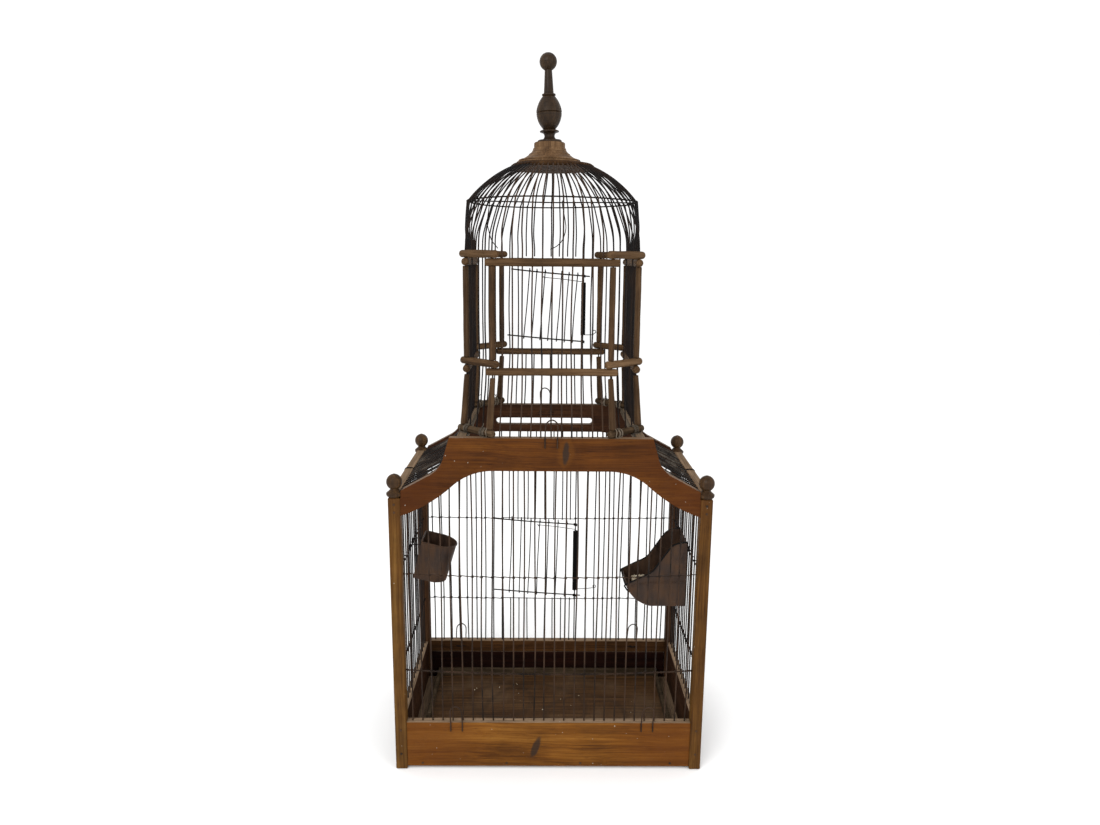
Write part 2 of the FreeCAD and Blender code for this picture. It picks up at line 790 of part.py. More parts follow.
turret_holes = holes(all_turret)
LOW_FACES = (1, 3, 5, 7)
HIGH_CORNERS = (0, 2, 4, 6)


def rail_stack(label, level):
    """Eight rails at one height: four below, and four lying on them across the corners."""
    rails = [dowel_rail(f"{label}_{i}", i, level, turret_corner) for i in LOW_FACES]
    high = level + size.dowel_step
    rails += [dowel_rail(f"{label}_{i}", i, high, turret_corner) for i in HIGH_CORNERS]
    doc.recompute()
    return group(label, [rail.Shape for rail in rails])


rail_stack("middle_rails", size.middle_rail_level)
rail_stack("top_rails", size.top_rail_level)
base_level = size.arch_top + size.dowel / 2 + 0.1
base = [dowel_rail(f"base_rails_{i}", i, base_level, splayed) for i in HIGH_CORNERS]
doc.recompute()
group("base_rails", [rail.Shape for rail in base])


def gallery_post(foot, head, foot_across, head_across):
    """A small post threaded on its corner wire, straight or tapered."""
    foot, head = Vector(*foot), Vector(*head)
    along = head - foot
    bore = wire_radius + size.wire_hole_clearance
    hole = Part.makeCylinder(bore, along.Length + 2, foot - along / along.Length, along)
    if foot_across == head_across:
        return Part.makeCylinder(foot_across / 2, along.Length, foot, along).cut(hole)
    return Part.makeCone(foot_across / 2, head_across / 2, along.Length, foot, along).cut(hole)


lower_posts = []
upper_posts = []
base_top = base_level + size.dowel / 2 + 0.3
lower_head = size.middle_rail_level - size.dowel / 2 - size.post_gap - 1
upper_foot = size.middle_rail_level + size.dowel_step + size.dowel / 2 + 0.1
upper_head = size.top_rail_level - size.dowel / 2 - 0.1
for start, bend, *_ in turret_runs["corner"]:
    height = bend[2] - start[2]
    foot = between(start, bend, (base_top - start[2]) / height)
    head = between(start, bend, (lower_head - start[2]) / height)
    lower_posts.append(gallery_post(foot, head, size.base_post_foot, size.base_post_head))
    foot = (bend[0], bend[1], upper_foot)
    head = (bend[0], bend[1], upper_head)
    upper_posts.append(gallery_post(foot, head, size.upper_post, size.upper_post))
group("lower_gallery_posts", lower_posts)
group("upper_gallery_posts", upper_posts)

# ---------------------------------------------------------------- wires

group("front_wall_wires", wires(front_wall))
group("back_wall_wires", wires(back_wall))
group("front_tie_wires", wires(end_ties["front"]))
group("back_tie_wires", wires(end_ties["back"]))
group("side_tie_wires", wires(side_ties["left"] + side_ties["right"]))
for side, _ in SIDES:
    group(side + "_wall_wires", wires(side_walls[side]))
    group(side + "_roof_wires", wires(roof[side]))
for name, makers in turret.items():
    group(f"turret_{name}_wires", wires(makers))
group("dome_wires", wires(dome))

ring = doc.addObject("Part::Torus", "dome_ring")
bind(
    ring,
    Radius1="Dimensions.ring_radius - Dimensions.wire - 0.1",
    Radius2="Dimensions.wire / 2",
    Placement__Base__z="Dimensions.ring_level - 1",
)
keep("dome_ring", ring)

cross_level = size.ring_level - 1 + size.wire + 0.1
cross_reach = size.ring_radius - 0.8
cross_start = (-cross_reach, 6, cross_level)
cross_end = (cross_reach, 6, cross_level)
group("dome_cross_wire", [rod(cross_start, cross_end, wire_radius)])

LOOSE_WIRES = (
    [(12, 8, cross_level - 2), (18, 9, 708), (17, 8, 696), (13, 4, 684), (6, 0, 675), (-3, -4, 670)],
    [(-80, 8, cross_level - 2), (-84, 6, 708), (-82, 4, 694), (-78, 0, 682), (-72, -4, 671)],
)
group("loose_wires", [bent_wire(route, size.wire * 0.4) for route in LOOSE_WIRES])

# ---------------------------------------------------------------- tray

tray_front = -size.tray_depth / 2
tray_floor_bottom = "Dimensions.tray_floor_top - Dimensions.tray_floor_height"
keep(
    "tray_floor",
    block(
        "tray_floor_board",
        "Dimensions.tray_width",
        "Dimensions.tray_depth",
        "Dimensions.tray_floor_height",
        "0 * Dimensions.foot_gap",
        "1.5 * Dimensions.tray_clearance",
        tray_floor_bottom,
        "Dimensions.board_edge_round",
    ),
)

lip_x = (size.tray_width - size.tray_lip_thickness) / 2
lip_y = (size.tray_depth - size.tray_lip_thickness) / 2 + 1.5 * size.tray_clearance
lip_run = size.tray_depth - 2 * size.tray_lip_thickness - 0.2


def lip(along_x, along_y, x, y):
    """One strip on the edge of the tray floor."""
    corner = Vector(x - along_x / 2, y - along_y / 2, size.tray_floor_top)
    strip = Part.makeBox(along_x, along_y, size.tray_lip_height, corner)
    return strip.makeFillet(1, [edge for edge in strip.Edges if edge.BoundBox.ZMin > corner.z + 1])


middle_y = 1.5 * size.tray_clearance
group(
    "tray_lips",
    [
        lip(size.tray_lip_thickness, lip_run, -lip_x, middle_y),
        lip(size.tray_lip_thickness, lip_run, lip_x, middle_y),
        lip(size.tray_width, size.tray_lip_thickness, 0, lip_y),
        lip(size.tray_width, size.tray_lip_thickness, 0, 2 * middle_y - lip_y),
    ],
)

keep(
    "tray_back_board",
    block(
        "tray_back_blank",
        between_posts_x + " - 2 * Dimensions.tray_clearance",
        "Dimensions.front_board_thickness",
        "Dimensions.back_rail_bottom - Dimensions.foot_gap - Dimensions.tray_clearance",
        "0 * Dimensions.foot_gap",
        wall_plane,
        "Dimensions.foot_gap",
        "Dimensions.board_edge_round",
    ),
)

ledge_top = size.tray_floor_top - size.tray_floor_height - 0.3
ledge_x = inner_x + (size.post_side - size.side_board_thickness) / 2 - size.ledge_width / 2
group(
    "tray_ledges",
    [
        Part.makeBox(
            size.ledge_width,
            2 * inner_y,
            ledge_top - size.foot_gap,
            Vector(sign * ledge_x - size.ledge_width / 2, -inner_y, size.foot_gap),
        )
        for _, sign in SIDES
    ],
)

# ---------------------------------------------------------------- doors


def door(label, hinge_x, free_x, plane_y, bottom, top):
    """A door of two bars and a row of wires, hung by its bars' eyes on a wall wire."""
    bar = size.door_bar / 2
    bar_y = plane_y + wire_radius + bar + 0.1
    reach = hinge_x - free_x + size.door_overlap
    slope = size.door_rise / reach
    bars = []
    for level in (bottom, top):
        free_end = (hinge_x - reach, bar_y, level + size.door_rise)
        straight = rod((hinge_x, bar_y, level), free_end, bar)
        eye_foot = Vector(hinge_x, plane_y, level - bar)
        eye = Part.makeCylinder(size.hinge_eye / 2, size.door_bar, eye_foot)
        hole = Part.makeCylinder(
            wire_radius + size.hinge_clearance, size.door_bar + 4, eye_foot - Vector(0, 0, 2)
        )
        bars.append(straight.fuse(eye).cut(hole).removeSplitter())
    group(label + "_bars", bars)
    uprights = []
    pitch = (hinge_x - free_x) / (size.door_wire_count + 1)
    upright_y = bar_y + bar + wire_radius + 0.05
    for step in range(1, int(size.door_wire_count) + 1):
        x = hinge_x - step * pitch
        rise = slope * (hinge_x - x)
        foot = (x, upright_y, bottom + rise - 3)
        head = (x, upright_y, top + rise + 3)
        uprights.append(rod(foot, head, wire_radius))
    group(label + "_wires", uprights)


def door_spring(label, hinge_x, plane_y, bottom, top, wall_reach):
    """A closely wound spring round the hinge wire. One leg bears on the door, one on the wall."""
    coil_low = bottom + 9
    coil_top = top - 9
    foot = Vector(hinge_x, plane_y, coil_low)
    coil = Part.makeCylinder(size.spring_outside / 2, coil_top - coil_low, foot)
    coil = coil.cut(Part.makeCylinder(size.spring_inside / 2, coil_top - coil_low, foot))
    leg = size.spring_wire / 2
    leg_y = plane_y + size.spring_outside / 2 - leg
    outside_door_y = plane_y + 2 * wire_radius + size.door_bar + size.wire + leg + 0.5
    door_leg = bent_wire(
        [
            (hinge_x + 0.5, leg_y, coil_top - 1),
            (hinge_x - 5, outside_door_y, coil_top - 1),
            (hinge_x - size.spring_leg_reach, outside_door_y + 1.5, coil_top - 1),
        ],
        leg,
    )
    wall_leg = rod(
        (hinge_x, leg_y, coil_low + 1), (hinge_x + wall_reach, leg_y - 1.1, coil_low + 1), leg
    )
    keep(label, shape_object(label, coil.fuse([door_leg, wall_leg]).removeSplitter()))


upper_free_x = turret_runs["back"][min(door_steps) - 2][1][0]
lower_door_place = (
    size.lower_hinge_x, doorway_x[0], wall_y, size.lower_door_bottom, size.lower_door_top
)
upper_door_place = (
    upper_hinge_x,
    upper_free_x,
    size.turret_half_depth,
    size.upper_door_bottom,
    size.upper_door_top,
)
for label, place, wall_reach in (
    ("lower_door", lower_door_place, size.lower_wall_leg),
    ("upper_door", upper_door_place, size.upper_wall_leg),
):
    hinge_at, free_at, plane_at, bottom_at, top_at = place
    door(label, hinge_at, free_at, plane_at, bottom_at, top_at)
    door_spring(label + "_spring", hinge_at, plane_at, bottom_at, top_at, wall_reach)

# ---------------------------------------------------------------- feeders


cup_back = post_x - tie_offset - wire_radius - 2


def d_outline(scale, level, inset):
    """A flat back and a round front, at one height, in the seed cup's own frame."""
    half = size.cup_width / 2 * scale - inset
    front = size.cup_depth * scale - inset
    left = Vector(inset, -half, level)
    right = Vector(inset, half, level)
    shoulder = front * 0.45
    edges = [
        Part.makeLine(left, Vector(shoulder, -half, level)),
        Part.Arc(
            Vector(shoulder, -half, level), Vector(front, 0, level), Vector(shoulder, half, level)
        ).toShape(),
        Part.makeLine(Vector(shoulder, half, level), right),
        Part.makeLine(right, left),
    ]
    return Part.Wire(edges)


def seed_cup():
    """A tapered cup of sheet metal, open at the top, that leans into the cage."""
    wall = size.sheet_metal
    high = size.cup_height
    outside = Part.makeLoft([d_outline(size.cup_taper, 0, 0), d_outline(1, high, 0)], True)
    inside = Part.makeLoft(
        [d_outline(size.cup_taper, wall, wall), d_outline(1, high + 0.01, wall)], True
    )
    cup = outside.cut(inside)
    cup.rotate(Vector(), Vector(0, 1, 0), size.cup_tilt)
    cup.translate(Vector(-cup_back, 0, size.cup_heel))
    return cup


def scuttle_bowl(wall):
    """The curved front of the hopper feeder from its flat bottom up to the tip of its lip."""
    low = size.feeder_bottom + wall
    bottom_end = Vector(140, 0, low)
    belly = Vector(119 + 0.7 * wall, 0, 199 + 0.7 * wall)
    tip = Vector(105.5 + wall, 0, 219)
    return [
        Part.makeLine(Vector(cup_back - wall, 0, low), bottom_end),
        Part.Arc(bottom_end, belly, tip).toShape(),
    ]


def hopper_feeder():
    """A scuttle of sheet metal with a high back and curved cheeks, open along its sloping rim."""
    wall = size.sheet_metal
    half = size.feeder_width / 2
    back_top = Vector(cup_back, 0, size.feeder_top)
    crest_end = Vector(182, 0, size.feeder_top)
    crest = Part.BSplineCurve()
    crest.interpolate(
        [
            Vector(105.5, 0, 219),
            Vector(123, 0, 229),
            Vector(140, 0, 238),
            Vector(150, 0, 251),
            Vector(160, 0, 266),
            Vector(169, 0, 277),
            crest_end,
        ]
    )
    side_view = scuttle_bowl(0) + [
        crest.toShape(),
        Part.makeLine(crest_end, back_top),
        Part.makeLine(back_top, Vector(cup_back, 0, size.feeder_bottom)),
    ]
    outside = Part.Face(Part.Wire(Part.__sortEdges__(side_view)))
    outside = outside.extrude(Vector(0, 2 * half, 0))
    above = size.feeder_top + 10
    tip_above = Vector(105.5 + wall, 0, above)
    back_above = Vector(cup_back - wall, 0, above)
    hollow = scuttle_bowl(wall) + [
        Part.makeLine(Vector(105.5 + wall, 0, 219), tip_above),
        Part.makeLine(tip_above, back_above),
        Part.makeLine(back_above, Vector(cup_back - wall, 0, size.feeder_bottom + wall)),
    ]
    inside = Part.Face(Part.Wire(Part.__sortEdges__(hollow)))
    inside = inside.extrude(Vector(0, 2 * (half - wall), 0))
    inside.translate(Vector(0, wall, 0))
    shell = outside.cut(inside)
    shell.translate(Vector(0, -half, 0))
    return shell


def hook(sign, y, shank):
    """A wire hook that runs up a cup's back, over the side wall's upper tie and down outside it.
    The shank is two places on the cup's back, as distances from the middle of the cage and heights."""
    radius = size.hook_wire / 2
    tie = post_x - tie_offset
    over = size.upper_tie_level + wire_radius + radius + 0.05
    outer = tie + wire_radius + radius + 0.25
    route = shank + [(outer, over), (outer, over - 7)]
    return bent_wire([(sign * x, y, z) for x, z in route], radius)


def shank_on(back_at):
    """The hooks' two places on a back whose distance from the middle is known at each height."""
    radius = size.hook_wire / 2
    over = size.upper_tie_level + wire_radius + radius + 0.05
    foot = size.upper_tie_level - 24
    return [(back_at(z) + radius + 0.05, z) for z in (foot, over)]


def leaning_back(z):
    """Where the seed cup's back is at a height, allowing for the slope across a wire's width."""
    tilt = math.radians(size.cup_tilt)
    slack = size.hook_wire / 2 * (1 / math.cos(tilt) - 1)
    return cup_back - (z - size.cup_heel) * math.tan(tilt) + slack


keep("seed_cup", shape_object("seed_cup", seed_cup()))
keep("hopper_feeder", shape_object("hopper_feeder", hopper_feeder()))
hook_y = [side_y[6] + size.side_wire_pitch / 2, side_y[8] + size.side_wire_pitch / 2]
cup_shank = shank_on(leaning_back)
hopper_shank = shank_on(lambda z: cup_back)
group("seed_cup_hooks", [hook(-1, y, cup_shank) for y in hook_y])
group("hopper_feeder_hooks", [hook(1, y, hopper_shank) for y in hook_y])

# ---------------------------------------------------------------- small wire and nails


def wire_loop(x, y, top, across_x):
    """An inverted U with its legs down the outer face of a board."""
    half = size.loop_width / 2
    high = top + size.loop_height
    low = top - size.loop_leg
    route = [(-half, low), (-half, high - 6), (-half + 3, high - 1.5), (0, high)]
    route += [(half - 3, high - 1.5), (half, high - 6), (half, low)]
    if across_x:
        points = [(x + along, y, z) for along, z in route]
    else:
        points = [(x, y + along, z) for along, z in route]
    return bent_wire(points, size.loop_wire / 2)


loop_y = wall_y + size.front_board_thickness / 2 + size.loop_wire / 2 + 0.05
loop_x = size.sill_middle + size.sill_width / 2 + size.loop_wire / 2 + 0.05
loops = [wire_loop(x, -loop_y, size.bottom_board_top, True) for x in (-120, 128)]
loops += [wire_loop(x, loop_y, size.bottom_board_top, True) for x in (-138, 134)]
loops += [wire_loop(0, -loop_y, size.arch_top, True), wire_loop(-6, loop_y, size.arch_top, True)]
loops += [wire_loop(sign * loop_x, 45.5, size.arch_top, False) for _, sign in SIDES]
group("wire_loops", loops)


def nail(x, y, z, outwards):
    """The head of a nail on a face that looks along Y."""
    direction = Vector(0, outwards, 0)
    return Part.makeCylinder(size.nail_head / 2, size.nail_proud, Vector(x, y, z), direction)


nails = []
for _, sign in ENDS:
    post_face = sign * (post_y + size.post_side / 2 + 0.02)
    board_face = sign * (wall_y + size.front_board_thickness / 2 + 0.02)
    for x in (-post_x, post_x):
        nails += [nail(x, post_face, z, sign) for z in (22, 56, 352, 362)]
    if sign < 0:
        nails += [nail(x, board_face, 8, sign) for x in (-165, -55, 42, 160)]
group("nails", nails)

# ---------------------------------------------------------------- check and write

doc.recompute()
for thing in doc.Objects:
    if "Invalid" in thing.State or "Error" in thing.State:
        raise RuntimeError(f"{thing.Label} failed: {thing.State}")
slot_area = (size.slot_length - size.slot_height) * size.slot_height
slot_area += math.pi * (size.slot_height / 2) ** 2
slot_volume = front_arch.Shape.Volume - back_arch.Shape.Volume
if abs(slot_volume - slot_area * size.front_board_thickness) > 1:
    raise RuntimeError("the slot in the back arch board isn't cut through")

os.makedirs("parts", exist_ok=True)
for label, thing in subparts.items():
    shape = thing.Shape
    if shape.isNull() or not shape.isValid() or not shape.Solids:
        raise RuntimeError(f"{label} has no valid solid")
    shape.exportStep(f"parts/{label}.step")
print(len(subparts), "sub-parts written")
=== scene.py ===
"""Two-tier bird cage: the looks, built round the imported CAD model.

Shapes are worked out in millimetres, in the frame of the CAD model, and made into meshes in metres.
"""

import json
import math
import random

import bpy
from mathutils import Matrix, Vector


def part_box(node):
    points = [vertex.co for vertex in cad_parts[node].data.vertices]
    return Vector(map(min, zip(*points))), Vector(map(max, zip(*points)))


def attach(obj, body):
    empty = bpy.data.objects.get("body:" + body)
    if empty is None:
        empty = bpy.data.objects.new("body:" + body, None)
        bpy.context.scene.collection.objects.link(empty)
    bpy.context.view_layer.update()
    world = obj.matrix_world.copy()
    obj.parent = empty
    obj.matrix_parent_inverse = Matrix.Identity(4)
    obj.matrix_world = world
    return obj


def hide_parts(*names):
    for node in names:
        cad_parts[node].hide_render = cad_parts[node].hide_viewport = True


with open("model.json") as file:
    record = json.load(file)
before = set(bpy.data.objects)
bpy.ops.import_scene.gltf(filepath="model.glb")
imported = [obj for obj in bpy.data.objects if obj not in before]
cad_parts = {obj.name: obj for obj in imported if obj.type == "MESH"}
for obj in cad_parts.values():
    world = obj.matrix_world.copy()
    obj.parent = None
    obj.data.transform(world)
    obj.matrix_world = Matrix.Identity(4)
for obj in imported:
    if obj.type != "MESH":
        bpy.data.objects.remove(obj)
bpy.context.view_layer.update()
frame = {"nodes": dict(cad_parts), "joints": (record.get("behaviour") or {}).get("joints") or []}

MM = 0.001
SIDES = {"left": -1, "right": 1}
rng = random.Random(11)


def mm_box(node):
    """A CAD node's lowest and highest corner at rest, in millimetres."""
    low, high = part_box(node)
    return Vector(low) / MM, Vector(high) / MM


# ---- materials


class Shader:
    """A Principled material and the few kinds of node that the recipes below need."""

    def __init__(self, name):
        self.material = bpy.data.materials.new(name)
        self.material.use_nodes = True
        self.tree = self.material.node_tree
        self.surface = self.tree.nodes["Principled BSDF"]

    def add(self, kind, inputs=(), **settings):
        """A node with its settings, and its inputs linked or set by name or number."""
        node = self.tree.nodes.new(kind)
        for name, value in settings.items():
            setattr(node, name, value)
        for key, value in dict(inputs).items():
            self.feed(node.inputs[key], value)
        return node

    def feed(self, socket, value):
        """Links a socket to another, or sets it."""
        if isinstance(value, bpy.types.NodeSocket):
            self.tree.links.new(value, socket)
        else:
            socket.default_value = value

    def math(self, operation, *values):
        node = self.add("ShaderNodeMath", operation=operation)
        for socket, value in zip(node.inputs, values):
            self.feed(socket, value)
        return node.outputs[0]

    def vector_math(self, operation, *values):
        node = self.add("ShaderNodeVectorMath", operation=operation)
        for socket, value in zip(node.inputs, values):
            self.feed(socket, value)
        return node.outputs[0]

    def object_point(self):
        """The place on the object, in metres, in the frame of the CAD model."""
        return self.add("ShaderNodeTexCoord").outputs["Object"]

    def stretched(self, vector, scale):
        return self.vector_math("MULTIPLY", vector, scale)

    def noise(self, vector, scale=1.0, detail=3.0, roughness=0.55):
        inputs = {"Vector": vector, "Scale": scale, "Detail": detail, "Roughness": roughness}
        return self.add("ShaderNodeTexNoise", inputs).outputs["Fac"]

    def band(self, value, low, high, bottom=0.0, top=1.0):
        """Value from low to high, read as bottom to top and held there beyond."""
        inputs = {0: value, 1: low, 2: high, 3: bottom, 4: top}
        node = self.add("ShaderNodeMapRange", interpolation_type="SMOOTHSTEP")
        for key, item in inputs.items():
            self.feed(node.inputs[key], item)
        return node.outputs[0]

    def ramp(self, value, stops):
        """Colours along a value, from (position, colour) pairs."""
        node = self.add("ShaderNodeValToRGB", {"Fac": value})
        while len(node.color_ramp.elements) < len(stops):
            node.color_ramp.elements.new(0.5)
        for element, (position, colour) in zip(node.color_ramp.elements, stops):
            element.position = position
            element.color = (*colour, 1)
        return node.outputs["Color"]

    def mix(self, amount, first, second, blend="MIX"):
        """Two colours mixed by an amount; a plain colour is three numbers."""
        node = self.add("ShaderNodeMix", data_type="RGBA", blend_type=blend)
        colours = [(*c, 1) if isinstance(c, tuple) else c for c in (first, second)]
        for key, value in zip((0, 6, 7), (amount, *colours)):
            self.feed(node.inputs[key], value)
        return node.outputs[2]

    def finish(self, colour, roughness, height, depth, metallic=0.0, specular=0.1):
        """Wires up the surface: colour, roughness and a bump of the given depth in metres."""
        bump = self.add("ShaderNodeBump", {"Height": height, "Distance": depth, "Strength": 1.0})
        self.feed(self.surface.inputs["Base Color"], colour)
        self.feed(self.surface.inputs["Roughness"], roughness)
        self.feed(self.surface.inputs["Normal"], bump.outputs[0])
        self.surface.inputs["Metallic"].default_value = metallic
        self.surface.inputs["Specular IOR Level"].default_value = specular
        return self.material


def grain_point(shader, along):
    """A place in wood, with the grain along its first axis: "X", "Y", "Z", or "grain" where the
    mesh carries its own."""
    if along == "grain":
        point = shader.add("ShaderNodeAttribute", attribute_name="grain").outputs["Vector"]
        return shader.stretched(point, (MM, MM, MM))
    parts = shader.add("ShaderNodeSeparateXYZ", {0: shader.object_point()})
    order = {"X": (0, 1, 2), "Y": (1, 0, 2), "Z": (2, 0, 1)}[along]
    inputs = {place: parts.outputs[axis] for place, axis in enumerate(order)}
    return shader.add("ShaderNodeCombineXYZ", inputs).outputs[0]


def blot(shader, centre, size, lean=0.0):
    """1 at a place on the front or back of a board, fading out over an ellipse; millimetres."""
    offset = shader.vector_math("SUBTRACT", shader.object_point(), tuple(v * MM for v in centre))
    parts = shader.add("ShaderNodeSeparateXYZ", {0: offset})
    sheared = shader.math("MULTIPLY_ADD", parts.outputs[2], -lean, parts.outputs[0])
    across = shader.math("DIVIDE", sheared, size[0] * MM)
    up = shader.math("DIVIDE", parts.outputs[2], size[1] * MM)
    ragged = shader.noise(shader.object_point(), 160.0, 4.0)
    distance = shader.math("ADD", shader.math("POWER", across, 2.0), shader.math("POWER", up, 2.0))
    distance = shader.math("ADD", distance, shader.math("MULTIPLY_ADD", ragged, 1.1, -0.55))
    return shader.band(distance, 0.35, 1.15, 1.0, 0.0)


def wood(name, along, dark, mid, light, gloss=0.5, lit_and_worn_top=0.0, end_reach=0.0, scorches=(), halo=0.0,
         flecks=0.0, grime=0.5, rings=0.0):
    """Old wood. lit_and_worn_top greys and pales the faces that look up, partly as painted top light and
    partly as wood worn pale;
    end_reach darkens what lies beyond that distance from the middle, flecks sprinkles old paint, and rings
    paints shade into turned grooves that the mesh does not have."""
    shader = Shader(name)
    point = grain_point(shader, along)
    wander = shader.noise(shader.stretched(point, (5, 16, 16)), 1.0, 2.0)
    warped = shader.vector_math("ADD", point, shader.stretched(wander, (0, 0.014, 0.014)))
    figure = shader.noise(shader.stretched(warped, (3, 75, 75)), 1.0, 4.0, 0.5)
    streaks = shader.noise(shader.stretched(warped, (9, 520, 520)), 1.0, 5.0, 0.7)
    pores = shader.noise(shader.stretched(warped, (70, 1900, 1900)), 1.0, 2.0, 0.5)
    place = shader.object_point()
    patches = shader.noise(place, 13.0, 4.0, 0.6)
    tone = shader.math("MULTIPLY_ADD", streaks, 0.55, shader.math("MULTIPLY", figure, 0.45))
    colour = shader.ramp(tone, [(0.34, dark), (0.5, mid), (0.66, light)])
    colour = shader.mix(shader.band(pores, 0.62, 0.72, 0.0, 0.55), colour, dark)
    shade = shader.band(patches, 0.3, 0.68, 1.0 - 0.55 * grime, 1.0)
    grey = shader.add("ShaderNodeCombineColor", {0: shade, 1: shade, 2: shade}).outputs[0]
    colour = shader.mix(1.0, colour, grey, "MULTIPLY")
    if end_reach:
        parts = shader.add("ShaderNodeSeparateXYZ", {0: point})
        reach = shader.math("ABSOLUTE", parts.outputs[0])
        ragged = shader.math("MULTIPLY_ADD", patches, 60 * MM, reach)
        ends = shader.band(ragged, end_reach * MM, (end_reach + 90) * MM, 0.0, 0.6)
        brown = tuple(0.5 * d + 0.5 * m * t for d, m, t in zip(dark, mid, (1.0, 0.8, 0.75)))
        colour = shader.mix(ends, colour, brown)
    # Painted shade: dark bands along the height stand for the shade in turned grooves that the mesh does
    # not have.
    if rings:
        height = shader.add("ShaderNodeSeparateXYZ", {0: place}).outputs[2]
        turned = shader.noise(shader.add("ShaderNodeCombineXYZ", {2: height}).outputs[0], 420.0, 2.0)
        colour = shader.mix(shader.band(turned, 0.45, 0.7, 0.0, rings), colour, dark)
    for centre, size, lean in scorches:
        if halo:
            around = blot(shader, centre, (size[0] * 2.6, size[1] * 1.25), lean)
            colour = shader.mix(shader.math("MULTIPLY", around, halo), colour, light)
        mark = blot(shader, centre, size, lean)
        colour = shader.mix(shader.math("MULTIPLY", mark, 0.82), colour, (0.018, 0.013, 0.010))
    # Painted top light: faces that look up are mixed towards a paler, greyer colour, standing partly for
    # light falling from above and partly for wood worn pale on top; the worn mask and its colour carry
    # both.
    if lit_and_worn_top:
        normal = shader.add("ShaderNodeTexCoord").outputs["Normal"]
        facing = shader.add("ShaderNodeSeparateXYZ", {0: normal})
        worn = shader.math("ADD", facing.outputs[2], shader.math("MULTIPLY_ADD", streaks, 0.5, -0.25))
        lit_bare_colour = shader.ramp(streaks, [(0.3, (0.085, 0.055, 0.032)), (0.7, (0.29, 0.195, 0.120))])
        colour = shader.mix(shader.band(worn, 0.55, 0.9, 0.0, lit_and_worn_top), colour, lit_bare_colour)
    if flecks:
        spots = shader.noise(place, 310.0, 1.0, 0.4)
        spread_of_flecks = shader.band(spots, 0.81 - 0.012 * flecks, 0.82, 0.0, 0.8)
        colour = shader.mix(spread_of_flecks, colour, (0.40, 0.36, 0.30))
    scuffs = shader.noise(place, 90.0, 5.0, 0.65)
    roughness = shader.band(scuffs, 0.3, 0.75, 0.78 - 0.5 * gloss, 0.88 - 0.25 * gloss)
    height = shader.math("ADD", shader.math("MULTIPLY", streaks, 0.6), shader.math("MULTIPLY", scuffs, 0.4))
    height = shader.math("SUBTRACT", height, shader.band(pores, 0.62, 0.72, 0.0, 0.4))
    return shader.finish(colour, roughness, height, 0.35 * MM, specular=0.03 + 0.12 * gloss)


def iron(name, dark, brown, rust_or_highlight_from=0.55):
    """Old iron wire: nearly black, dull, with brown rust that comes and goes along it; on the roof wires
    the same patches are pale painted highlights.
    """
    shader = Shader(name)
    place = shader.object_point()
    patches = shader.noise(place, 24.0, 4.0, 0.65)
    fine = shader.noise(place, 900.0, 4.0, 0.7)
    amount = shader.math("MULTIPLY_ADD", fine, 0.35, shader.math("MULTIPLY", patches, 0.75))
    colour = shader.mix(shader.band(amount, rust_or_highlight_from - 0.1, rust_or_highlight_from + 0.16), dark, brown)
    colour = shader.mix(shader.band(fine, 0.62, 0.8, 0.0, 0.5), colour, tuple(1.9 * c for c in brown))
    roughness = shader.band(amount, 0.4, 0.75, 0.5, 0.88)
    return shader.finish(colour, roughness, fine, 0.12 * MM)


def tinplate(name):
    """Old sheet iron: brown-black, with redder rust in soft upright runs and a few scratches."""
    shader = Shader(name)
    place = shader.object_point()
    clouds = shader.noise(place, 34.0, 5.0, 0.6)
    runs = shader.noise(shader.stretched(place, (150, 150, 22)), 1.0, 4.0, 0.6)
    grit = shader.noise(place, 1100.0, 3.0, 0.7)
    scratches = shader.noise(shader.stretched(place, (60, 60, 900)), 1.0, 3.0, 0.5)
    tone = shader.math("MULTIPLY_ADD", runs, 0.4, shader.math("MULTIPLY", clouds, 0.6))
    stops = [(0.34, (0.010, 0.005, 0.003)), (0.48, (0.030, 0.014, 0.007))]
    stops += [(0.6, (0.055, 0.026, 0.011)), (0.72, (0.066, 0.022, 0.011))]
    colour = shader.ramp(tone, stops)
    colour = shader.mix(shader.band(grit, 0.58, 0.8, 0.0, 0.5), colour, (0.11, 0.055, 0.025))
    colour = shader.mix(shader.band(scratches, 0.66, 0.74, 0.0, 0.35), colour, (0.10, 0.075, 0.055))
    roughness = shader.band(clouds, 0.35, 0.7, 0.42, 0.8)
    height = shader.math("MULTIPLY_ADD", grit, 0.4, shader.math("MULTIPLY", clouds, 1.6))
    return shader.finish(colour, roughness, height, 0.5 * MM, specular=0.3)


